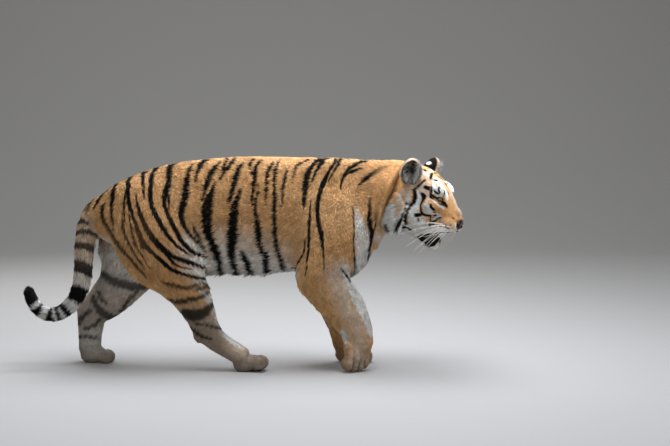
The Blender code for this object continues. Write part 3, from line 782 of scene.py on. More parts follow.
# Ringed bands of the tail: where along it, as a share of its length, and half width in metres.
TAIL_BANDS = (
    (0.140, 0.010), (0.202, 0.016), (0.284, 0.021), (0.399, 0.034), (0.544, 0.044), (0.670, 0.017),
    (0.716, 0.012), (0.762, 0.017), (0.846, 0.018), (0.950, 0.066),
)
# The lip and jaw strokes paint the black lips; the wide jaw strokes carry the black over the jaw's side as
# painted shade under the upper lip.
FACE_MARKS = {
    "cheek_1": ((-66, -103, 45, 4.4), (-55, -103, 35, 7.5), (-46, -104, 15, 10.1), (-45, -104, -1, 10.1),
        (-50, -103, -20, 7.5), (-52, -109, -37, 5.7), (-54, -114, -61, 6.1), (-52, -113, -83, 8.3),
        (-46, -109, -103, 7.9)),
    "cheek_1b": ((-68, -90, -129, 4.4), (-44, -99, -121, 6.6), (-24, -94, -125, 6.1)),
    "cheek_2": ((-70, -105, -17, 4), (-74, -111, -42, 5.5), (-75, -118, -68, 6), (-77, -120, -92, 6.5),
        (-80, -120, -112, 6.5), (-83, -116, -130, 6.5), (-88, -98, -149, 5)),
    "cheek_2b": ((-88, -98, -150, 3.9), (-74, -98, -148, 3.9)),
    "ruff_spot": ((-128, -136, -149, 8), (-122, -117, -169, 8), (-125, -95, -188, 5)),
    "cheek_3": ((-28, -96, 43, 3.9), (-13, -94, 33, 10.5), (-9, -98, 16, 7.5), (-11, -101, -5, 5.3),
        (-6, -99, -25, 5.5), (3, -101, -38, 7), (18, -94, -44, 5.7), (32, -70, -41, 4.8),
        (37, -66, -55, 4.8), (41, -66, -70, 6.1)),
    "cheek_3b": ((42, -66, -70, 5.3), (55, -63, -60, 4.4), (66, -60, -47, 3.9), (78, -53, -33, 3.1)),
    "cheek_3c": ((-13, -111, -55, 8.8), (1, -105, -47, 7)),
    "cheek_3d": ((49, -63, -35, 5.3), (55, -62, -31, 4.8)),
    "cheek_3e": ((50, -88, -18, 2.9), (57, -80, -17, 2.6)),
    "cheek_3f": ((-2, -108, -66, 3.5), (5, -105, -77, 2.6)),
    "cheek_3g": ((40, -68, -78, 4), (46, -68, -85, 3.5)),
    "cheek_3h": ((50, -66, -75, 3.5), (59, -64, -71, 2.9)),
    "temple_1": ((3, -77, 66, 5.3), (9, -79, 53, 5.5), (15, -82, 38, 6.6), (26, -81, 34, 4.4)),
    "temple_2": ((30, -100, 12, 3.9), (37, -100, 1, 6.1), (50, -94, -5, 6.1)),
    "temple_3": ((-24, -84, 72, 8.3), (-11, -80, 71, 10.1)),
    "temple_4": ((-39, -71, 99, 4), (-45, -82, 85, 5), (-53, -93, 66, 4.6), (-60, -101, 49, 4.6)),
    "brow_1": ((-3, -43, 109, 6.6), (1, -39, 108, 7)),
    "brow_2": ((2, -72, 80, 4.8), (7, -74, 69, 4.8)),
    "brow_3": ((20, -78, 71, 4.8), (32, -77, 66, 6.1), (42, -75, 65, 3.5)),
    "brow_4": ((34, -71, 92, 3.3), (36, -78, 81, 4.4), (44, -76, 72, 4.4)),
    "brow_5": ((52, -56, 84, 2.9), (59, -56, 71, 3.5)),
    "crown_1": ((-24, -53, 112, 6), (-30, -40, 122, 6.5), (-33, -26, 130, 5)),
    "crown_1b": ((-30, -12, 132, 3.6), (-30, 0, 132, 3.6)),
    "crown_2": ((-74, -33, 134, 7), (-65, -36, 132, 7)),
    "crown_3": ((-69, -9, 140, 3.2), (-58, 14, 138, 3.5)),
    "crown_4": ((-17, -13, 127, 3.5), (2, -6, 119, 4.2), (16, 6, 112, 3.5)),
    "crown_5": ((24, -44, 103, 4.2), (26, -28, 100, 3.2)),
    "crown_6": ((28, -6, 104, 3.2), (44, 2, 93, 3.8)),
    "crown_7": ((61, -21, 74, 2.4), (67, -21, 68, 1.8)),
    "pad_1": ((102, -61, -60, 3.3), (116, -62, -56, 2.9)),
    "pad_2": ((117, -60, -67, 2.9), (131, -58, -67, 2.9)),
    "pad_3": ((130, -59, -50, 2.6), (137, -56, -48, 2.2)),
    "pad_4": ((87, -57, -71, 2.4), (95, -57, -71, 2)),
    "pad_5": ((125, -40, -20, 3.5), (131, -37, -21, 3.1)),
    "lip": ((150, -14, -82, 3), (142, -32, -84, 3.5), (121, -46, -92, 3.8), (106, -54, -99, 4),
        (90, -60, -106, 4.4), (75, -64, -114, 4.6), (59, -67, -123, 5), (43, -69, -132, 5),
        (20, -70, -144, 5.5)),
    "jaw_top": ((10, -51, -151, 8.8), (34, -48, -146, 11), (57, -37, -141, 11.8), (82, -24, -132, 10),
        (90, 0, -132, 8)),
    "jaw": ((14, -42, -162, 10), (50, -38, -167, 14), (74, -36, -158, 14), (84, -14, -146, 7),
        (86, 0, -144, 6)),
    "tear": ((58, -64, 40, 7), (68, -58, 34, 8), (78, -51, 27, 7.5), (86, -47, 20, 5)),
    "lid_lower": ((33, -80, 33, 2.6), (48, -77, 28, 3), (62, -66, 24, 3), (78, -53, 19, 2.6)),
    "lid_outer": ((20, -82, 50, 5), (30, -82, 46, 5), (36, -80, 42, 5)),
    "philtrum": ((152, 0, -70, 2.5), (150, 0, -78, 2), (146, 0, -86, 2.5)),
}
WHITE_FACE = {
    "brow": ((-5, -53, 103, 11.8), (2, -36, 110, 14), (30, -51, 101, 20.6), (51, -46, 85, 20.6),
        (61, -36, 65, 14), (71, -39, 50, 6.6)),
    "brow_low": ((7, -74, 89, 10.1), (25, -78, 69, 17.6), (44, -75, 74, 18.9), (40, -72, 53, 9.7)),
    "under_eye": ((28, -86, 33, 4.5), (40, -84, 25, 5), (56, -77, 18, 5.5), (74, -57, 11, 7)),
    "cheek": ((-45, -100, 43, 7.9), (-31, -101, 15, 11), (-31, -101, -17, 17.6), (-32, -112, -45, 19.7),
        (-19, -112, -74, 24.1), (10, -102, -82, 21.9), (5, -104, -98, 18), (40, -68, -96, 16),
        (71, -62, -84, 12)),
    "cheek_front": ((15, -104, -1, 13.2), (24, -100, -17, 17.6), (43, -83, -27, 13.2), (60, -60, -31, 11),
        (77, -55, -29, 6.6)),
    "cheek_back": ((-74, -108, 14, 8.8), (-70, -105, -17, 11), (-74, -114, -51, 14), (-78, -121, -90, 17.6),
        (-72, -111, -126, 24.1), (-60, -100, -140, 20)),
    "ruff": ((-118, -128, -50, 15), (-122, -126, -84, 26), (-122, -120, -117, 32), (-112, -112, -150, 36),
        (-100, -95, -176, 30)),
    "muzzle": ((57, -65, -92, 11), (91, -58, -80, 11), (123, -54, -76, 10.1), (147, -47, -70, 7.9),
        (153, -43, -52, 5.7), (145, -43, -39, 3.9)),
    "crown": ((-64, -46, 128, 7), (-50, -46, 126, 9), (-40, -52, 116, 6)),
    "crown_top": ((-52, -16, 136, 4.8), (-46, 10, 134, 5), (-25, 24, 127, 4.4)),
    "muzzle_front": ((158, -24, -76, 9), (158, 0, -80, 9)),
    "underjaw": ((-110, 0, -160, 60), (-50, 0, -165, 52), (0, 0, -178, 40), (50, 0, -198, 38),
        (75, -10, -185, 30), (88, 0, -170, 18)),
    "jaw_side": ((-60, -90, -140, 26), (-10, -72, -160, 22), (20, -60, -165, 16)),
    "lip": ((144, -45, -72, 8), (118, -52, -82, 9), (94, -58, -93, 10), (71, -63, -106, 11),
        (47, -66, -120, 12), (22, -67, -135, 13)),
    "jowl": ((-77, -80, -150, 24), (-39, -75, -146, 22), (-9, -66, -141, 18)),
    "jowl_side": ((-62, -104, -118, 18), (-30, -98, -118, 18), (4, -88, -118, 18), (36, -70, -120, 14)),
    "cheek_gap": ((46, -60, -55, 6), (59, -56, -42, 6)),
}
# Cream shares the ground with orange on the temple, behind the cheek stripes and low on the flank.
CREAM_FACE = {
    "temple": ((-40, -96, 54, 17.6), (-15, -91, 49, 19.7), (4, -89, 32, 13.2), (12, -102, 12, 11)),
    "temple_top": ((-62, -85, 88, 15.4), (-34, -83, 79, 17.6), (-17, -66, 94, 13.2)),
    "crown": ((-60, -101, 131, 15.4), (-51, -53, 119, 17.6), (-20, -56, 107, 13.2)),
    "ear_band": ((-59, -72, 103, 11), (-68, -97, 63, 13.2), (-86, -105, 38, 13.2)),
    "ruff_top": ((-100, -107, 23, 17.6), (-104, -118, -10, 19.7), (-113, -126, -46, 17.6)),
    "muzzle": ((81, -54, -57, 11), (115, -62, -60, 13.2), (141, -55, -55, 11)),
    "bridge_low": ((76, -10, 65, 6.6), (111, -5, 30, 6.6), (147, -5, -4, 6.6)),
    "cheek_low": ((-60, -110, -40, 40), (-10, -105, -60, 40), (30, -85, -75, 24)),
    "jaw_side": ((-60, -90, -140, 30), (-10, -70, -160, 24), (30, -56, -160, 20)),
}
CREAM_BODY = {
    "flank": ((-170, 560, 60), (-60, 560, 80), (60, 550, 80), (170, 510, 60)),
    "thigh": ((-240, 560, 40), (-190, 480, 50), (-170, 420, 30)),
    "forearm": ((430, 440, 50), (470, 300, 40), (520, 180, 30), (520, 60, 30)),
}
# Painted shade: dark brown behind the elbow, low on the neck and down the back of the thigh, knee
# and shank, where the coat is also a little browner.
BROWN_SHADE_BODY = {
    "elbow": ((225, 731, 26), (238, 670, 40), (247, 608, 44), (251, 550, 30)),
    "neck": ((645, 700, 22), (635, 672, 26), (617, 640, 20)),
    "thigh": ((-585, 650, 26), (-530, 560, 34), (-450, 480, 34), (-380, 430, 30)),
    "knee": ((-330, 430, 26), (-270, 350, 30), (-210, 300, 26)),
    "shank": ((-222, 226, 24), (-170, 186, 30), (-120, 140, 26)),
}
# Painted shade: darker brown down the bridge of the nose and on the forehead, where light falls full.
SHADE_FACE = {
    "bridge": ((60, 0, 92, 18), (92, 0, 62, 24), (122, 0, 26, 26), (146, 0, -2, 24)),
    "forehead": ((-20, 0, 130, 10), (30, 0, 110, 12)),
}
DUSKY_FACE = {
    "temple": ((-50, -95, 60, 24), (-20, -90, 50, 20), (4, -90, 40, 14)),
    "behind_cheek": ((-84, -105, 40, 16), (-96, -110, 0, 20), (-104, -120, -40, 18)),
}


STROKE_STEPS = 5


def dense(strokes):
    """Each stroke as closely spaced points, in metres."""
    return [np.array(curve_through(rows, STROKE_STEPS)) / 1000 for rows in strokes.values()]


def laid_on_hide(strokes):
    """Strokes of the head's frame, moved to the nearest places on the hide."""
    lines = dense(strokes)
    for line in lines:
        for row in line:
            row[:3] = HEAD.inverted() @ hide_tree.find_nearest(HEAD @ Vector(row[:3]))[0]
    return lines


face_dark, face_white, face_cream, face_shade, face_dusky = (
    laid_on_hide(strokes) for strokes in (FACE_MARKS, WHITE_FACE, CREAM_FACE, SHADE_FACE, DUSKY_FACE)
)
stripes, near_bands, far_bands = dense(STRIPES), dense(NEAR_HIND_BANDS), dense(FAR_HIND_BANDS)
pale_body, white_body, foreleg_white_and_highlight = dense(PALE_BODY), dense(WHITE_BODY), dense(FORELEG_WHITE_AND_HIGHLIGHT)
cream_body, brown_shade_body = dense(CREAM_BODY), dense(BROWN_SHADE_BODY)


def brushed(points, lines, soft, wobble=0.0):
    """How fully each point is covered by the strokes, 0 to 1, with an edge of the given softness."""
    cover = np.zeros(len(points))
    if wobble:
        phase = points * 1000
        x, z = phase[:, 0], phase[:, -1]
        sway = np.sin(x / 9.1 + z / 5.3) + np.sin(x / 3.7 - z / 7.9) + 0.7 * np.sin(x / 2.1 + z / 2.9)
    for line in lines:
        margin = line[:, -1].max() + soft + wobble * 3
        low, high = line[:, :-1].min(0) - margin, line[:, :-1].max(0) + margin
        near = np.where(np.all((points > low) & (points < high), axis=1))[0]
        if not len(near):
            continue
        some = points[near]
        best = np.full(len(near), -1.0)
        for a, b in zip(line, line[1:]):
            span = b[:-1] - a[:-1]
            t = np.clip((some - a[:-1]) @ span / max(span @ span, 1e-12), 0, 1)
            away = size_of(some - a[:-1] - t[:, None] * span)
            best = np.maximum(best, a[-1] + (b[-1] - a[-1]) * t - away)
        if wobble:
            best = best + wobble * sway[near]
        cover[near] = np.maximum(cover[near], ramp(best, -soft / 2, soft / 2))
    return cover


# How far the far hind leg reaches behind the near one: height, then reach.
HIND_SPREAD = (
    (0.10, 0.55), (0.28, 0.42), (0.35, 0.33), (0.43, 0.24), (0.52, 0.15), (0.60, 0.06), (0.70, 0.00),
)


def side_view(points, far):
    """Points as x and height on the near side. The far side is the same animal in another step:
    its hind leg reaches back, and its stripes are placed a little differently."""
    flat = points[:, (0, 2)].copy()
    if far:
        heights, shifts = zip(*HIND_SPREAD)
        back = ramp(-flat[:, 0], 0.12, 0.30)
        flat[:, 0] += np.interp(flat[:, 1], heights, shifts) * back
        flat[:, 0] += 0.012 * np.sin(flat[:, 1] * 11) + 0.015 * np.sin(flat[:, 0] * 9)
        flat[:, 1] += 0.014 * np.sin(flat[:, 0] * 13 + 1)
    return flat


def tail_share(points):
    """How far along the tail each point is, 0 to 1, and how near its middle line."""
    rows = np.array(LIES["tail"])
    spans = size_of(np.diff(rows[:, :3], axis=0))
    rows[:, 3] = np.concatenate([[0], np.cumsum(spans)]) / spans.sum()
    nearest, _, along = line_pull(points, rows)
    return along, nearest


def in_mouth(local):
    """1 inside the open mouth, in the head's frame."""
    away = (local - np.array((0.045, 0.0, -0.110))) / np.array((0.077, 0.052, 0.033))
    return 1 - ramp(size_of(away), 0.90, 1.08)


def ear_parts(points, normals, sign):
    """Whether each point is on this ear, on its rim, behind it, in its hollow, and its own place."""
    into = ear_frame(sign).inverted()
    own, out = through(into, points), turned(into, normals)
    on_ear = (1 - ramp(ear_size(own), 1.00, 1.08)) * ramp(own[:, 2], -0.045, -0.020)
    span = np.hypot(own[:, 1] / 0.0495, own[:, 2] / 0.0715)
    rim = ramp(span, 0.80, 0.93) * ramp(own[:, 0], -0.012, -0.002)
    behind = ramp(-out[:, 0], 0.05, 0.35) * (1 - rim)
    well = 1 - ramp(span, 0.82, 0.90)
    well = well * ramp(own[:, 0], -0.034, -0.026) * (1 - ramp(own[:, 0], 0.018, 0.030))
    hollow = well * (1 - ramp(-out[:, 0], 0.10, 0.40)) * ramp(own[:, 2], -0.066, -0.050)
    return on_ear, rim, behind, hollow, own


def inner_bars(z):
    """Two thin bars across the inside of each foreleg."""
    upper = ramp(0.008 - np.abs(z - 0.385), -0.002, 0.003)
    return np.maximum(upper, ramp(0.007 - np.abs(z - 0.300), -0.002, 0.003))


def markings(points, normals):
    """The coat's pattern at each point, each 0 to 1: dark stripe, white, dun shade, painted-shade brown."""
    x, y, z = points.T
    near = 1 - ramp(y, -0.012, 0.012)
    # Inner faces of the legs carry no flank stripes.
    inner = ramp(np.where(y < 0, normals[:, 1], -normals[:, 1]), 0.05, 0.45) * ramp(-z, -0.60, -0.50)
    inner *= ramp(np.abs(y), 0.01, 0.04)
    on_head = head_share(points)
    tail_along, tail_away = tail_share(points)
    on_tail = (1 - ramp(tail_away, 0.055, 0.075)) * ramp(tail_along, 0.06, 0.14)
    trunk_side = (1 - inner) * (1 - on_head) * (1 - on_tail)

    dark, white, brown_and_shade = np.zeros(len(points)), np.zeros(len(points)), np.zeros(len(points))
    for far, part, crisp in ((False, near, 0.84), (True, 1 - near, 0.50)):
        flat = side_view(points, far)
        dark = np.maximum(dark, part * trunk_side * brushed(flat, stripes, 0.005, 0.0010))
        # Pale areas stop short of white: painted shade on the lower body.
        pale = brushed(flat, pale_body, 0.050, 0.002) * (0.72 - 0.06 * ramp(z, 0.48, 0.60))
        pale = np.maximum(pale, crisp * brushed(flat, white_body, 0.026, 0.0025))
        white = np.maximum(white, part * pale)
        white = np.maximum(white, part * brushed(flat, cream_body, 0.110, 0.002) * 0.40)
        # Painted shade in darker brown behind the elbow, low on the neck and down the hind legs.
        brown_and_shade = np.maximum(brown_and_shade, part * brushed(flat, brown_shade_body, 0.130) * 0.48)
    level = points[:, (0, 2)]
    # Partly a painted highlight: the pale front edge of the near foreleg.
    white = np.maximum(white, 0.92 * (y < -0.02) * brushed(level, foreleg_white_and_highlight, 0.020, 0.003))
    # Low on the haunch and hind legs the stripes are dark brown rather than black.
    dark *= 1 - 0.20 * ramp(-x, 0.34, 0.46) * ramp(-z, -0.74, -0.60)
    off_tail = 1 - on_tail
    dark = np.maximum(dark, 0.88 * (y < 0) * off_tail * brushed(level, near_bands, 0.012, 0.0020))
    dark = np.maximum(dark, 0.80 * (y > 0) * off_tail * brushed(level, far_bands, 0.014, 0.0026))
    # Underside, inner legs and insides of the thighs are white, held short of full white as painted shade.
    below = ramp(-normals[:, 2], 0.35, 0.85) * (1 - ramp(np.abs(y), 0.09, 0.13)) * ramp(z, 0.36, 0.42)
    white = np.maximum(white, np.maximum(below * 0.70, inner * ramp(z, 0.10, 0.42) * 0.66))
    # Painted shade: low on the body the white lies over dun, so that it reads grey.
    white_in_shade = white * ramp(-z, -0.62, -0.50)
    dark = np.maximum(dark, inner * ramp(x, 0.15, 0.25) * inner_bars(z))

    # The tail: rings that sag on its upper side, and a dark tip.
    slant = 0.012 * np.sin(np.arctan2(normals[:, 1], normals[:, 0]) + 0.8 + tail_along * 9)
    ring = np.zeros(len(points))
    for place, half in TAIL_BANDS:
        bow = tail_along + slant * (0.3 + 0.7 * (place < 0.6))
        bow = bow + 0.003 * np.sin(normals[:, 1] * 7 + place * 40)
        ring = np.maximum(ring, ramp(half - np.abs(bow - place), -0.003, 0.004))
    dark = np.maximum(dark * off_tail, ring * on_tail)
    dark *= 1 - 0.14 * on_tail * (1 - ramp(tail_along, 0.3, 0.5))
    white = white * off_tail + on_tail * (0.22 + 0.50 * ramp(tail_along, 0.22, 0.60))
    # Painted shade: the sides are a darker brown than the back, as light from above leaves them.
    brown_and_shade = np.maximum(brown_and_shade, 0.20 * (1 - ramp(z, 0.66, 0.86))) * off_tail

    # The face, the same on both sides.
    local = in_head(points)
    folded = np.stack([local[:, 0], -np.abs(local[:, 1]), local[:, 2]], 1)
    front = ramp(on_head, 0.0, 0.3)
    # The mouth's inside is painted black: painted shade over its lining.
    marks_and_mouth_shade = np.maximum(brushed(folded, face_dark, 0.0026, 0.0004), in_mouth(local))
    dark = np.maximum(dark, marks_and_mouth_shade * front)
    pale = np.maximum(brushed(folded, face_white, 0.008, 0.001), 0.36 * brushed(folded, face_cream, 0.030))
    white = np.maximum(white * (1 - on_head), pale * front)
    # The bridge and forehead take painted shade in darker brown.
    brown_and_shade = brown_and_shade * (1 - on_head) + 0.42 * on_head * brushed(folded, face_shade, 0.030)

    # Ears: black behind with a white spot, pale at the rim, and near black in the hollow as painted
    # shade of the cup.
    for sign in SIDES.values():
        on_ear, rim, behind, hollow, own = ear_parts(points, normals, sign)
        spot = np.hypot((own[:, 1] + 0.004 * sign) / 0.019, (own[:, 2] - 0.026) / 0.010)
        spot = 1 - ramp(spot, 0.75, 1.05)
        dark = dark * (1 - on_ear) + behind * (1 - spot) * on_ear
        white = white * (1 - on_ear) + np.maximum(behind * spot, rim * 0.40) * on_ear
        # Painted shade: the hollow is painted near black.
        dark = np.maximum(dark, 0.97 * hollow)

    # Brown-grey shade on the lower hind legs, the feet and the tail.
    shade = ramp(-z, -0.36, -0.22) * ramp(-x, -0.25, 0.0) * 0.9 + ramp(-z, -0.10, -0.03) * 0.5
    shade = np.clip(shade + on_tail * (0.42 + 0.28 * ramp(tail_along, 0.25, 0.6)), 0, 1)
    # Painted shade: the low whites lie over dun.
    shade = np.maximum(shade, 0.65 * white_in_shade * (1 - on_head) * off_tail)
    shade = np.maximum(shade, 0.45 * on_head * brushed(folded, face_dusky, 0.030))
    # The near hind instep is pale and warm, the far hind foot is painted paler, painted light that
    # lifts it out of the far side's shade, and the forefeet are browner.
    instep = np.exp(-(((x + 0.005) / 0.055) ** 2) - ((z - 0.105) / 0.040) ** 2) * (y < 0)
    far_foot_light = np.exp(-(((x + 0.690) / 0.080) ** 2) - ((z - 0.120) / 0.080) ** 2) * (y > 0)
    shade = shade * (1 - 0.75 * instep)
    white = np.maximum(white, np.maximum(0.50 * far_foot_light, 0.42 * instep))
    brown_and_shade = np.maximum(brown_and_shade, 0.45 * ramp(-z, -0.20, -0.06) * ramp(x, 0.20, 0.35))
    # Dark lines along the clefts are painted shade between the toes, and pads are black.
    for (long, wide, high), own, share in in_feet(points):
        front = ramp(own[:, 0], 0.22 * long, 0.44 * long) * share
        for cleft in CLEFT_PLACES:
            line = np.exp(-(((own[:, 1] / wide - cleft) / 0.030) ** 2))
            dark = np.maximum(dark, 0.60 * front * line)
        sole = ramp(-own[:, 2], -0.16 * high, -0.10 * high) * ramp(own[:, 0], -0.33 * long, -0.27 * long)
        dark = np.maximum(dark, share * sole)
    return dark, white, shade, brown_and_shade


def write_values(mesh, name, values, kind="FLOAT", key="value"):
    layer = mesh.attributes.new(name, kind, "POINT")
    layer.data.foreach_set(key, np.asarray(values, dtype=np.float32).ravel())


def write_marks(mesh, dark, white, shade, brown_and_shade, tone, along):
    """The pattern as two vector attributes on the mesh's points."""
    for name, columns in (("marks", (dark, white, shade)), ("hair", (tone, along, brown_and_shade))):
        write_values(mesh, name, np.stack(columns, 1), "FLOAT_VECTOR", "vector")


# The hide itself has a middling tone, and the painted shade that hair has near its root.
co, normals = places(skin.data), facings(skin.data)
write_marks(skin.data, *markings(co, normals), np.full(len(co), 0.5), np.full(len(co), 0.35))

# ------------------------------------------------------------------------------- coat colours
# Tiger hair: an orange ground that deepens over the shoulders, black-brown stripes, cream-white
# below and on the face, brown-grey on the lower legs, and a dark brown that is painted shade in
# folds, low on the sides and on the bridge of the nose. Both skin and hair take these colours.

ORANGE = "#E8BC86"
TAWNY = "#CC9A62"
SHADE_BROWN = "#84603E"
WHITE = "#E5E5E0"
DUN = "#978A7B"
BLACK = "#0B0908"


def rgba(hex_code):
    """sRGB hex to linear colour."""
    parts = [int(hex_code[i : i + 2], 16) / 255 for i in (1, 3, 5)]
    return (*[p / 12.92 if p <= 0.04045 else ((p + 0.055) / 1.055) ** 2.4 for p in parts], 1.0)


def add(tree, kind, settings=None, inputs=None):
    """A node with its settings; an input is a value or the socket that feeds it."""
    made = tree.nodes.new(kind)
    for key, value in (settings or {}).items():
        setattr(made, key, value)
    for key, value in (inputs or {}).items():
        if isinstance(value, bpy.types.NodeSocket):
            tree.links.new(value, made.inputs[key])
        else:
            made.inputs[key].default_value = value
    return made


def blank_material(name, roughness, specular):
    """A material, its node tree, its shader's inputs and the place that its textures read."""
    made = bpy.data.materials.new(name)
    made.use_nodes = True
    shade = made.node_tree.nodes["Principled BSDF"].inputs
    shade["Roughness"].default_value = roughness
    shade["Specular IOR Level"].default_value = specular
    return made, made.node_tree, shade, add(made.node_tree, "ShaderNodeTexCoord").outputs["Object"]


def mixed(tree, share, first, second, blend="MIX"):
    settings = {"data_type": "RGBA", "blend_type": blend}
    return add(tree, "ShaderNodeMix", settings, {0: share, 6: first, 7: second}).outputs[2]


def noise(tree, where, scale, detail=2.0):
    inputs = {"Vector": where, "Scale": scale, "Detail": detail}
    return add(tree, "ShaderNodeTexNoise", {}, inputs).outputs[0]


def stretched(tree, value, low, high, first, last):
    """The value's range from low to high, stretched to run from first to last."""
    return add(tree, "ShaderNodeMapRange", {}, {0: value, 1: low, 2: high, 3: first, 4: last}).outputs[0]


def roughen(tree, shade, height, strength, distance):
    inputs = {"Strength": strength, "Distance": distance, "Height": height}
    tree.links.new(add(tree, "ShaderNodeBump", {}, inputs).outputs[0], shade["Normal"])


def coat_colour(tree, where):
    """Hair colour from the pattern attributes, with the natural unevenness of a coat."""
    marks = add(tree, "ShaderNodeAttribute", {"attribute_name": "marks"})
    hair = add(tree, "ShaderNodeAttribute", {"attribute_name": "hair"})
    mark = add(tree, "ShaderNodeSeparateXYZ", {}, {0: marks.outputs["Vector"]}).outputs
    strand = add(tree, "ShaderNodeSeparateXYZ", {}, {0: hair.outputs["Vector"]}).outputs
    # Patches of deeper orange about a hand across.
    deeper = stretched(tree, noise(tree, where, 9.0, 3.0), 0.35, 0.70, 0.15, 0.75)
    ground = mixed(tree, deeper, rgba(ORANGE), rgba(TAWNY))
    for share, colour in ((strand[2], SHADE_BROWN), (mark[2], DUN), (mark[1], WHITE), (mark[0], BLACK)):
        ground = mixed(tree, share, ground, rgba(colour))
    # Each hair is a little lighter or darker, and darker at its root as painted shade of the coat.
    tone = stretched(tree, strand[0], 0.0, 1.0, 0.70, 1.34)
    root = stretched(tree, strand[1], 0.0, 0.8, 0.74, 1.24)
    light = add(tree, "ShaderNodeMath", {"operation": "MULTIPLY"}, {0: tone, 1: root})
    return mixed(tree, 1.0, ground, light.outputs[0], "MULTIPLY")


# The hide under its hair, with an undercoat of fine lumps two millimetres across.
hide, tree, shade, where = blank_material("haired_hide", 0.75, 0.12)
tree.links.new(coat_colour(tree, where), shade["Base Color"])
roughen(tree, shade, noise(tree, where, 420.0, 3.0), 0.6, 0.002)
skin.data.materials.clear()
skin.data.materials.append(hide)
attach(skin, "root")
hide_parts(*[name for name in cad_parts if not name.startswith("eye_")])

# ------------------------------------------------------------------------------- the coat
# Guard hairs in fine tufts, each a thin solid wedge rooted in the hide and lying along the body.
# They follow the lie above, and take the pattern at their roots.

TUFTS = 350000
PIECE_TUFTS = 48000
CLUMP_TUFTS = 22
CHART_TRIANGLES = 3500
# The side of a tuft's square on the colour chart, and how deep its root sits in the hide.
PATCH = 0.003
ROOT_DEPTH = 0.0006
TUFT_FLOOR = 0.0002
# How far tufts swing aside, in radians: each alone, and as a clump.
OWN_SWING, CLUMP_SWING = 0.09, 0.11
# A tuft's width: the least, and how much more for its length.
LEAST_WIDTH, WIDTH_BY_LENGTH = 0.0009, 0.125


def crowding(points):
    """How many tufts an area gets, relative to the trunk."""
    share = head_share(points)
    face = 9.0 - 5.0 * ramp(from_nose(in_head(points)), 0.10, 0.26)
    feet = 1 + 1.6 * ramp(-points[:, 2], -0.30, -0.08)
    return face * share + feet * (1 - share)


corner = co[tris]
cross = np.cross(corner[:, 1] - corner[:, 0], corner[:, 2] - corner[:, 0])
area, facing, middle = size_of(cross) / 2, unit(cross), corner.mean(1)
weight = area * crowding(middle)

# Bare places: inside the eye openings, the nose leather, the mouth and the soles.
bare = on_nose(in_head(middle)) | (in_mouth(in_head(middle)) > 0.5)
for side in SIDES:
    bare |= size_of(through(eye_frame(side, ORBITS[side]).inverted(), middle)) < EYE_RADIUS + 0.0005
for (long, wide, high), place, yaw, pitch in STANCES:
    stand = stance(place, yaw, pitch).inverted()
    own, down = through(stand, middle), turned(stand, facing)
    on_pad = (own[:, 2] < 0.13 * high) & (np.abs(own[:, 0]) < 0.66 * long) & (np.abs(own[:, 1]) < 0.55 * wide)
    bare |= on_pad & (down[:, 2] < -0.25)
weight[bare] = 0

totals = np.cumsum(weight)
picks = (np.arange(TUFTS) + chance.random(TUFTS)) / TUFTS * totals[-1]
chosen = np.minimum(np.searchsorted(totals, picks), len(tris) - 1)
first = np.sqrt(chance.random(TUFTS))
second = chance.random(TUFTS)
shares = np.stack([1 - first, first * (1 - second), first * second], 1)
roots = (co[tris[chosen]] * shares[:, :, None]).sum(1)
up = unit((normals[tris[chosen]] * shares[:, :, None]).sum(1))
order = np.argsort(roots[:, 0], kind="stable")
roots, up = roots[order], up[order]

lie, hair_length, hair_lift = coat_lie(roots, up)
# A tuft takes the pattern that lies under its middle, so that stripes stay where they are drawn.
root_marks = markings(roots + lie * (hair_length * 0.45)[:, None], up)

# Real fur gathers in small clumps that share a shade and a lean.
clump_count = TUFTS // CLUMP_TUFTS
clump_tree = KDTree(clump_count)
for number, place in enumerate(roots[chance.permutation(TUFTS)[:clump_count]].tolist()):
    clump_tree.insert(place, number)
clump_tree.balance()
clump = np.array([clump_tree.find(place)[1] for place in roots.tolist()])
clump_tone, clump_lean = chance.random(clump_count)[clump], chance.normal(0, 1, clump_count)[clump]
clump_lift = chance.normal(0, 1, clump_count)[clump]

# A small map of the hide's own shape, unwrapped once, says where each root's colour is kept.
chart = shown("chart", skin.data.copy())
chart.data.calc_loop_triangles()
coarse = chart.modifiers.new("coarse", "DECIMATE")
coarse.ratio = CHART_TRIANGLES / len(chart.data.loop_triangles)
settle(chart)
chart.data.uv_layers.new(name="chart")
bpy.ops.object.select_all(action="DESELECT")
bpy.context.view_layer.objects.active = chart
chart.select_set(True)
bpy.ops.object.mode_set(mode="EDIT")
bpy.ops.mesh.select_all(action="SELECT")
bpy.ops.uv.smart_project(angle_limit=math.radians(72), island_margin=0.004)
bpy.ops.object.mode_set(mode="OBJECT")
chart_co, chart_tris = places(chart.data), triangle_data(chart.data)
chart_uv = taken(chart.data.uv_layers["chart"].data, "uv", 2)[triangle_data(chart.data, "loops")]
ground = BVHTree.FromPolygons(chart_co.tolist(), chart_tris.tolist())
bpy.data.objects.remove(chart)


def share_of(points, corners):
    """Each point's shares of its triangle's three corners."""
    a, b, c = corners[:, 0], corners[:, 1], corners[:, 2]
    whole = np.cross(b - a, c - a)
    size = np.maximum((whole * whole).sum(1), 1e-18)
    v = (np.cross(points - a, c - a) * whole).sum(1) / size
    w = (np.cross(b - a, points - a) * whole).sum(1) / size
    return np.clip(np.stack([1 - v - w, v, w], 1), 0, 1)


def chart_places(points):
    """The UV place that the chart keeps for each point of the hide."""
    found = [ground.find_nearest(p) for p in points.tolist()]
    which = np.array([f[2] for f in found])
    shares = share_of(np.array([f[0] for f in found]), chart_co[chart_tris[which]])
    return np.clip((chart_uv[which] * shares[:, :, None]).sum(1), PATCH, 1 - PATCH)


root_uv = chart_places(roots)


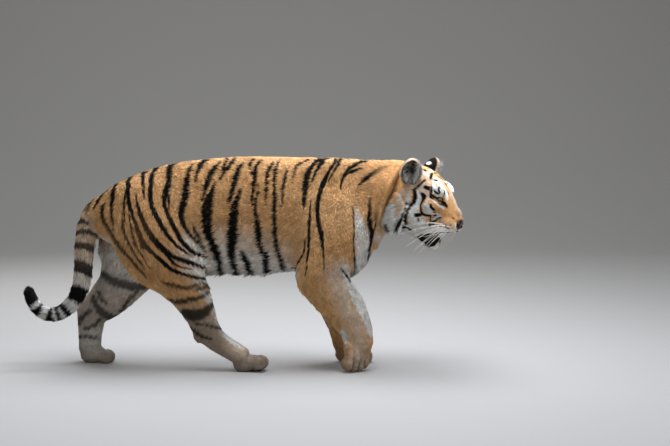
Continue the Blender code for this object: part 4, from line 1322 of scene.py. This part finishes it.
def wedges(name, start, up, lie, length, lift, wide, marks, uv, gather=(0.5, 0.0, 0.0)):
    """Tufts as one piece of thin four-sided wedges, each with its root on the hide. Gather is the
    shade, the lean and the raising that neighbouring tufts share."""
    n = len(start)
    shade, lean, raised = gather
    swing = chance.normal(0, OWN_SWING, n) + CLUMP_SWING * lean
    side = np.cross(lie, up)
    ahead = lie * np.cos(swing)[:, None] + side * np.sin(swing)[:, None]
    side = np.cross(ahead, up)
    size = length * (0.75 + 0.5 * chance.random(n))
    lift = lift * np.clip(0.70 + 0.6 * chance.random(n) + 0.22 * raised, 0.35, 1.8)
    half = wide * (0.8 + 0.4 * chance.random(n)) / 2
    out = (size * np.sin(lift))[:, None]
    flat = (size * np.cos(lift))[:, None]
    sunk = start - up * ROOT_DEPTH
    made = np.empty((n, 4, 3))
    made[:, 0] = sunk - side * half[:, None]
    made[:, 1] = sunk + side * half[:, None]
    made[:, 2] = start + ahead * flat * 0.38 + up * (out * 0.50 + half[:, None] * 0.38)
    made[:, 3] = start + ahead * flat + up * out
    made[:, :, 2] = np.maximum(made[:, :, 2], TUFT_FLOOR)
    faces = np.array(((0, 2, 3), (2, 1, 3), (0, 1, 2), (1, 0, 3)))
    corners = (np.arange(n)[:, None, None] * 4 + faces).reshape(-1)
    mesh = bpy.data.meshes.new(name)
    mesh.vertices.add(n * 4)
    mesh.vertices.foreach_set("co", made.ravel())
    mesh.loops.add(n * 12)
    mesh.loops.foreach_set("vertex_index", corners)
    mesh.polygons.add(n * 4)
    mesh.polygons.foreach_set("loop_start", np.arange(0, n * 12, 3))
    mesh.update(calc_edges=True)
    offsets = np.array(((-0.5, -0.5), (0.5, -0.5), (0.0, 0.0), (0.0, 0.5))) * PATCH
    layer = mesh.uv_layers.new(name="OFBake")
    layer.data.foreach_set("uv", (uv[:, None] + offsets).reshape(-1, 2)[corners].ravel())
    tone = np.repeat(np.clip(0.45 * chance.random(n) + 0.55 * shade, 0, 1), 4)
    write_marks(mesh, *[np.repeat(m, 4) for m in marks], tone, np.tile((0.0, 0.0, 0.45, 1.0), n))
    mesh.materials.append(fur)
    return shown(name, mesh)


fur, tree, shade, where = blank_material("guard_hair", 0.62, 0.14)
tree.links.new(coat_colour(tree, where), shade["Base Color"])
for number, start in enumerate(range(0, TUFTS, PIECE_TUFTS)):
    pick = slice(start, min(start + PIECE_TUFTS, TUFTS))
    width = LEAST_WIDTH + WIDTH_BY_LENGTH * hair_length[pick]
    shape = (lie[pick], hair_length[pick], hair_lift[pick], width)
    gather = (clump_tone[pick], clump_lean[pick], clump_lift[pick])
    pattern = [m[pick] for m in root_marks]
    tufts = wedges(f"coat_{number + 1}", roots[pick], up[pick], *shape, pattern, root_uv[pick], gather)
    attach(tufts, "root")

# ------------------------------------------------------------------------------- the ears' hair
# Long pale hair that stands in each ear and hides part of the hollow. It is thickest along the
# front edge and at the foot of the cup, and darker deeper in as painted shade of the cup.

EAR_HAIRS = 1500
EAR_HAIR_WIDTH = 0.0014
for side, sign in SIDES.items():
    on_ear, rim, behind, hollow, own = ear_parts(middle, facing, sign)
    ahead = ramp(-own[:, 1] * sign, 0.012, 0.034)
    astern = ramp(own[:, 1] * sign, 0.020, 0.036)
    low = ramp(-own[:, 2], 0.010, 0.045)
    wanted = area * np.maximum(hollow, rim * on_ear * 0.3) * (0.45 + 0.7 * ahead + 0.3 * astern + 0.9 * low)
    wanted *= ramp(0.056 - own[:, 2], 0.0, 0.03) * (1 + 1.5 * rim)
    picks = chance.choice(len(tris), EAR_HAIRS, p=wanted / wanted.sum())
    start, out, own = middle[picks], facing[picks], own[picks]
    inward = 0.30 * sign * np.where(own[:, 1] * sign < 0, 1, -1)
    course = np.stack([np.full(EAR_HAIRS, 0.55), inward, 0.75 - 4 * own[:, 2]], 1)
    course = unit(turned(ear_frame(sign), course))
    flat = course - out * (course * out).sum(1)[:, None]
    rise = np.clip(np.arctan2((course * out).sum(1), size_of(flat)), 0.25, 1.1)
    # Painted shade: dark grey deeper in the cup, with pale wisps, and a pale tuft at the foot of the cup.
    pale, fore = chance.random(EAR_HAIRS), ahead[picks]
    low = np.maximum(0.7 * low[picks], 0.72 * fore)
    cup_shade = (1 - low) * (0.50 + 0.46 * chance.random(EAR_HAIRS)) * (pale < 0.84)
    long = 0.013 + 0.016 * chance.random(EAR_HAIRS) ** 2 + 0.005 * low + 0.006 * fore
    pattern = (cup_shade, np.maximum(0.4 + 0.6 * pale, low), np.full(EAR_HAIRS, 0.8), np.zeros(EAR_HAIRS))
    shape = (unit(flat), long, rise, EAR_HAIR_WIDTH)
    tufts = wedges(f"ear_hair_{side}", start, out, *shape, pattern, chart_places(start))
    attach(tufts, "root")

# ------------------------------------------------------------------------------- the eyes
# Glass eyes as a taxidermist sets them: a clear gloss front over a painted iris, amber towards
# the pupil and greener at its edge, with a round black pupil.

IRIS_EDGE, PUPIL_EDGE = 0.0098, 0.0036
# The distance from the pupil's middle at which the painting's scale reads 1.
IRIS_SCALE = 0.02
iris_glass, tree, shade, where = blank_material("painted_iris_under_glass", 0.12, 0.08)
distance = add(tree, "ShaderNodeAttribute", {"attribute_name": "from_pupil"})
bands = add(tree, "ShaderNodeValToRGB", {}, {0: distance.outputs["Fac"]})
stops = bands.color_ramp.elements
stops[0].position, stops[0].color = PUPIL_EDGE / IRIS_SCALE, rgba("#050505")
stops[1].position, stops[1].color = PUPIL_EDGE / IRIS_SCALE + 0.03, rgba("#93793C")
for place, tint in ((0.34, "#837A44"), (0.44, "#63613A"), (0.48, "#14110C"), (0.60, "#0D0A08")):
    stops.new(place).color = rgba(tint)
uneven = mixed(tree, 0.35, bands.outputs[0], noise(tree, where, 900.0), "OVERLAY")
tree.links.new(uneven, shade["Base Color"])
shade["Coat Weight"].default_value = 0.25
shade["Coat Roughness"].default_value = 0.03

for side in SIDES:
    ball = bmesh.new()
    bmesh.ops.create_uvsphere(ball, u_segments=48, v_segments=32, radius=EYE_RADIUS)
    bmesh.ops.rotate(ball, matrix=Matrix.Rotation(math.radians(90), 3, "Y"), verts=ball.verts)
    from_pupil = []
    for v in ball.verts:
        off = math.hypot(v.co.y, v.co.z)
        from_pupil.append(off / IRIS_SCALE if v.co.x > 0 else 1.0)
        # The clear front stands a little proud over the iris.
        if v.co.x > 0 and off < IRIS_EDGE:
            v.co.x += 0.0016 * (1 - (off / IRIS_EDGE) ** 2)
    bmesh.ops.transform(ball, matrix=eye_frame(side, GAZES[side], 10), verts=ball.verts)
    eye = solid("glass_eye_" + side, ball, iris_glass)
    write_values(eye.data, "from_pupil", from_pupil)
    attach(eye, "root")
    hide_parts("eye_" + side)

# ------------------------------------------------------------------------------- the eyelids
# Bare black rims of lid around each eye, thick at the edge and running under the brow's hair. Each
# is one closed band of rings round a pointed almond, with short hair on its outer part.

# Half the opening's width, its height above the middle and its depth below, in degrees.
LID_SPAN, LID_UPPER, LID_LOWER = 53, 27, 22
# How far each ring of the lid lies outside the opening, in degrees, and how far over the eyeball.
LID_RINGS = ((-1.0, -0.0012), (0.0, 0.0003), (1.5, 0.0011), (4.0, 0.0013), (8.0, 0.0010), (14.0, 0.0006),
             (20.0, 0.0002), (26.0, -0.0008), (22.0, -0.0030), (6.0, -0.0030))


def mottled(name, roughness, specular, scale, first, second):
    """A material that wavers between two colours, with its tree, its inputs and its grain."""
    made, tree, shade, where = blank_material(name, roughness, specular)
    grain = noise(tree, where, scale)
    tree.links.new(mixed(tree, grain, rgba(first), rgba(second)), shade["Base Color"])
    return made, tree, shade, grain


lid_skin, tree, shade, creases = mottled("black_lid_skin", 0.62, 0.2, 700.0, "#070606", "#121010")
roughen(tree, shade, creases, 0.4, 0.0006)


def lid_point(sign, around, spread, rise):
    """A place on the lid, in the eye's frame: a pointed almond whose inner corner is the lower one."""
    c, s = math.cos(around), math.sin(around)
    across = LID_SPAN * math.copysign(abs(c) ** 0.85, c) + spread * c
    height = (LID_UPPER if s > 0 else LID_LOWER) * math.copysign(abs(s) ** 1.25, s) + spread * s
    a, h = math.radians(across), math.radians(height + sign * across * 0.16)
    # The upper lid hangs over the lower.
    reach = EYE_RADIUS + rise + 0.0006 * max(s, 0) * (spread >= 0)
    return Vector((math.cos(h) * math.cos(a), math.cos(h) * math.sin(a), math.sin(h))) * reach


LID_HAIRS = 900
LID_HAIR_LENGTH, LID_HAIR_LIFT, LID_HAIR_WIDTH = 0.0040, 0.24, 0.0010
for side, sign in SIDES.items():
    lid = bmesh.new()
    rings = []
    for spread, rise in LID_RINGS:
        ring = bmesh.ops.create_circle(lid, segments=72, radius=1.0)["verts"]
        for v in ring:
            v.co = lid_point(sign, math.atan2(v.co.y, v.co.x), spread, rise)
        rings.append(ring)
    joined(lid, rings, closed=True)
    orbit = eye_frame(side, ORBITS[side])
    bmesh.ops.transform(lid, matrix=orbit, verts=lid.verts)
    bmesh.ops.recalc_face_normals(lid, faces=lid.faces)
    lids = solid("eyelids_" + side, lid, lid_skin)
    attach(lids, "root")
    # Short hair covers the lids out from their bare rims.
    turns, spreads = chance.random(LID_HAIRS) * 2 * math.pi, 3.5 + 24 * chance.random(LID_HAIRS)
    rises = np.interp(spreads, [row[0] for row in LID_RINGS[:8]], [row[1] for row in LID_RINGS[:8]])
    start = np.array([orbit @ lid_point(sign, *row) for row in zip(turns, spreads, rises)])
    ahead = np.array([orbit @ lid_point(sign, t, s + 5, r) for t, s, r in zip(turns, spreads, rises)])
    ahead, out = unit(ahead - start), unit(start - np.array(orbit.translation))
    lid_marks = list(markings(start + ahead * 0.002, out))
    lid_marks[0] = np.maximum(lid_marks[0], 1 - ramp(spreads, 5.0, 9.0))
    shape = (ahead, np.full(LID_HAIRS, LID_HAIR_LENGTH), np.full(LID_HAIRS, LID_HAIR_LIFT), LID_HAIR_WIDTH)
    tufts = wedges(f"lid_hair_{side}", start, out, *shape, lid_marks, chart_places(start))
    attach(tufts, "root")

# ------------------------------------------------------------------------------- the nose
# Bare, finely pebbled nose leather, pink-brown and dark at its edges, with comma-shaped nostrils.
# The dark of its edges is partly its own and partly painted shade, and its lower half, nostrils and
# groove are darkened as painted shade. It is a closed pad wrapped round the muzzle's end.

leather, tree, shade, where = blank_material("nose_leather", 0.45, 0.45)
nose_dark_and_shade = add(tree, "ShaderNodeAttribute", {"attribute_name": "nose_dark_and_shade"})
tree.links.new(mixed(tree, nose_dark_and_shade.outputs["Fac"], rgba("#7E5249"), rgba("#0B0808")), shade["Base Color"])
# Pebbles about a millimetre across.
pebbles = add(tree, "ShaderNodeTexVoronoi", {}, {"Vector": where, "Scale": 900.0})
roughen(tree, shade, pebbles.outputs[0], 0.35, 0.0005)


def ramp_at(value, low, high):
    return float(ramp(np.array(value), low, high))


ACROSS, DOWN = 64, 44
nose = bmesh.new()
bmesh.ops.create_grid(nose, x_segments=ACROSS, y_segments=DOWN, size=1.0)
nose_dark_and_shade_values = []
for v in nose.verts:
    u, t = v.co.x, (1 - v.co.y) / 2
    angle = u * float(nose_reach(t))
    z = NOSE_TOP - NOSE_DEEP * t
    heading = HEAD.to_3x3() @ Vector((math.cos(angle), math.sin(angle), 0))
    axis = HEAD @ Vector((NOSE_AXIS, 0, z))
    spot = muzzle_tree.ray_cast(axis + heading * 0.08, -heading)[0] or axis + heading * 0.028
    # Nostrils: round openings in front that curl out and back as slits; a groove runs down the middle.
    hole = math.hypot((abs(u) - 0.42) / 0.24, (t - 0.56) / 0.19)
    slit = math.hypot((abs(u) - 0.74) / 0.26, (t - 0.46) / 0.09)
    dark = max(0.0, 1 - min(hole, slit) ** 2)
    groove = max(0.0, 1 - abs(u) / 0.07) * ramp_at(t, 0.45, 0.75)
    edge = max(abs(u), abs(2 * t - 1)) ** 8
    swell = 0.0026 * (1 - edge) + 0.0016 * math.exp(-((abs(u) - 0.62) / 0.25) ** 2 - ((t - 0.36) / 0.2) ** 2)
    reach = (spot - axis).length + swell - 0.0040 * edge - 0.0085 * dark ** 0.7 - 0.0012 * groove
    # Painted shade: the sides and lower half darken, and nostrils and groove go near black.
    wing = max(ramp_at(abs(u), 0.04, 0.24) * ramp_at(t, 0.00, 0.14), 0.55 * ramp_at(t, 0.30, 0.60))
    nose_dark_and_shade_values.append(min(1.0, 3.0 * dark + 0.8 * groove + wing + 0.7 * ramp_at(t, 0.80, 1.0)))
    v.co = axis + heading * reach
skirt = bmesh.ops.extrude_edge_only(nose, edges=[e for e in nose.edges if e.is_boundary])["geom"]
for v in skirt:
    if isinstance(v, bmesh.types.BMVert):
        v.co += (HEAD @ Vector((NOSE_AXIS, 0, NOSE_TOP - NOSE_DEEP / 2)) - v.co) * 0.35
        nose_dark_and_shade_values.append(1.0)
bmesh.ops.edgeloop_fill(nose, edges=[e for e in nose.edges if e.is_boundary])
bmesh.ops.recalc_face_normals(nose, faces=nose.faces)
nose = solid("nose_leather", nose, leather)
write_values(nose.data, "nose_dark_and_shade", nose_dark_and_shade_values)
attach(nose, "root")

# ------------------------------------------------------------------------------- the tongue
# A long flat tongue that fills the floor of the open mouth, wet and dull pink, painted dark as
# painted shade inside the mouth. It is muscle with a finely mottled skin.

# From its root to its tip: x, y, z, half depth and half width in the head's frame.
TONGUE_ROWS = (
    (-0.040, 0, -0.100, 0.016, 0.038),
    (0.000, 0, -0.106, 0.013, 0.036),
    (0.040, 0, -0.114, 0.009, 0.032),
    (0.062, 0, -0.121, 0.006, 0.026),
    (0.074, 0, -0.125, 0.003, 0.012),
)
tongue_flesh = mottled("wet_tongue", 0.30, 0.5, 300.0, "#2E1616", "#3E2020")[0]
tongue = loft(TONGUE_ROWS, points=32)
tongue.transform(HEAD)
tongue = solid("tongue", tongue, tongue_flesh)
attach(tongue, "root")

# ------------------------------------------------------------------------------- the whiskers
# Stiff white whiskers in four rows on each muzzle pad, swept back and drooping at their ends,
# with a few finer ones above each eye.

# Radii at the root and at the tip.
WHISKER_ROOT, WHISKER_TIP = 0.0013, 0.00035
# Each row's course: back, out and up, then the length in metres of its hindmost whisker.
WHISKER_ROWS = ((-0.80, 0.50, -0.30, 0.150), (-0.72, 0.46, -0.52, 0.185), (-0.56, 0.36, -0.74, 0.190),
                (-0.42, 0.27, -0.84, 0.160))
whisker_horn = mottled("whisker_horn", 0.35, 0.5, 60.0, "#FAF8F2", "#E6E0D2")[0]


def whisker(bm, points, girth=1.0):
    """A tapered hair along the curve through its points, in the head's frame."""
    path = [Vector(p) for p in curve_through(points, 5)]
    rings = []
    for i, p in enumerate(path):
        ahead = (path[min(i + 1, len(path) - 1)] - path[max(i - 1, 0)]).normalized()
        turn = ahead.to_track_quat("Z", "Y").to_matrix().to_4x4()
        thick = girth * (WHISKER_ROOT + (WHISKER_TIP - WHISKER_ROOT) * i / (len(path) - 1))
        place = Matrix.Translation(p) @ turn
        rings.append(bmesh.ops.create_circle(bm, segments=5, radius=thick, matrix=place)["verts"])
    joined(bm, rings)


whiskers = bmesh.new()
for sign in SIDES.values():
    for row, (back, out, down, reach) in enumerate(WHISKER_ROWS):
        for place in range(4):
            x = 0.098 + 0.012 * place - 0.002 * row
            z = -0.056 - 0.0085 * row - 0.001 * place
            y = 0.058 - 0.10 * abs(x - 0.112)
            long = reach * (1.04 - 0.13 * place + 0.06 * math.sin(row * 2.1 + place * 1.3))
            root = HEAD.inverted() @ hide_tree.find_nearest(HEAD @ Vector((x, sign * y, z)))[0]
            outward = sign * (out + 0.05 * math.cos(row * 1.7 + place))
            drop = down + 0.07 * math.sin(place * 2.7 + row)
            course = Vector((back + 0.05 * place, outward, drop)).normalized()
            mid = root + course * long * 0.5 + Vector((0.004, sign * 0.012, 0.013))
            whisker(whiskers, (root, mid, root + course * long))
    for place in range(3):
        root = Vector((0.050 + 0.006 * place, sign * (0.052 - 0.006 * place), 0.083 - 0.003 * place))
        mid = root + Vector((-0.010, sign * 0.018, 0.012))
        whisker(whiskers, (root, mid, mid + Vector((-0.024, sign * 0.012, 0.002))), 0.5)
bmesh.ops.recalc_face_normals(whiskers, faces=whiskers.faces)
whiskers.transform(HEAD)
whiskers = solid("whiskers", whiskers, whisker_horn)
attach(whiskers, "root")

# ------------------------------------------------------------------------------- studio
# A pale paper sweep for the floor and backdrop, large soft lamps, and the camera. Most of the light
# comes from above, as it does outdoors.

# The sweep: half width, front edge, where its floor starts to bend up, the bend's radius, and top.
SWEEP_HALF, SWEEP_FRONT, SWEEP_BEND, SWEEP_RADIUS, SWEEP_TOP = 16.0, -14.0, 5.0, 4.0, 12.0
paper, tree, shade, where = blank_material("paper_sweep", 0.9, 0.2)
shade["Base Color"].default_value = rgba("#AFADA9")
sweep = bmesh.new()
profile = [(SWEEP_FRONT, 0.0), (SWEEP_BEND, 0.0)]
for angle in range(5, 91, 5):
    a = math.radians(angle)
    profile.append((SWEEP_BEND + SWEEP_RADIUS * math.sin(a), SWEEP_RADIUS - SWEEP_RADIUS * math.cos(a)))
profile.append((SWEEP_BEND + SWEEP_RADIUS, SWEEP_TOP))
row = [sweep.verts.new((-SWEEP_HALF, y, z)) for y, z in profile]
edges = [sweep.edges.new(two) for two in zip(row, row[1:])]
grown = bmesh.ops.extrude_edge_only(sweep, edges=edges)["geom"]
for v in grown:
    if isinstance(v, bmesh.types.BMVert):
        v.co.x = SWEEP_HALF
bmesh.ops.recalc_face_normals(sweep, faces=sweep.faces)
solid("paper_sweep", sweep, paper)


def soft_lamp(name, place, aim, size, power, tint="#FFFFFF"):
    lamp = bpy.data.lights.new(name, "AREA")
    lamp.shape = "RECTANGLE"
    lamp.size, lamp.size_y = size
    lamp.energy = power
    lamp.color = rgba(tint)[:3]
    made = shown(name, lamp)
    made.location = place
    made.rotation_euler = (Vector(aim) - Vector(place)).to_track_quat("-Z", "Y").to_euler()


soft_lamp("overhead", (0.5, 0.1, 3.4), (0.1, 0.0, 0.5), (3.4, 2.0), 226, "#EEF3FF")
soft_lamp("front", (3.4, -4.2, 3.0), (0.3, 0.0, 0.6), (3.0, 2.2), 64)
soft_lamp("behind_left", (-3.2, -4.2, 2.8), (-0.2, 0.0, 0.6), (2.4, 2.0), 30)
soft_lamp("back_rim", (-1.8, 3.2, 2.6), (0.0, 0.0, 0.6), (2.6, 1.6), 40)
soft_lamp("backdrop_wash", (0.0, 3.0, 5.0), (0.0, 8.5, 1.5), (9.0, 1.2), 110)

world = bpy.data.worlds.new("studio")
world.use_nodes = True
world.node_tree.nodes["Background"].inputs[0].default_value = rgba("#DFE3E8")
world.node_tree.nodes["Background"].inputs[1].default_value = 0.20
bpy.context.scene.world = world
bpy.context.scene.view_settings.view_transform = "Standard"

# The camera looks square on at the near side from a little above, and sees this width at its aim.
AIM = Vector((0.41575, 0.0004, 0.6525))
CAMERA_DISTANCE, CAMERA_RISE, VIEW_WIDTH = 7.0, math.radians(5), 3.015
camera = bpy.data.cameras.new("camera")
camera.sensor_width = 36
camera.lens = camera.sensor_width * CAMERA_DISTANCE / VIEW_WIDTH
eye_point = shown("camera", camera)
back = Vector((0, -math.cos(CAMERA_RISE), math.sin(CAMERA_RISE)))
eye_point.location = AIM + back * CAMERA_DISTANCE
eye_point.rotation_euler = (-back).to_track_quat("-Z", "Y").to_euler()
bpy.context.scene.camera = eye_point
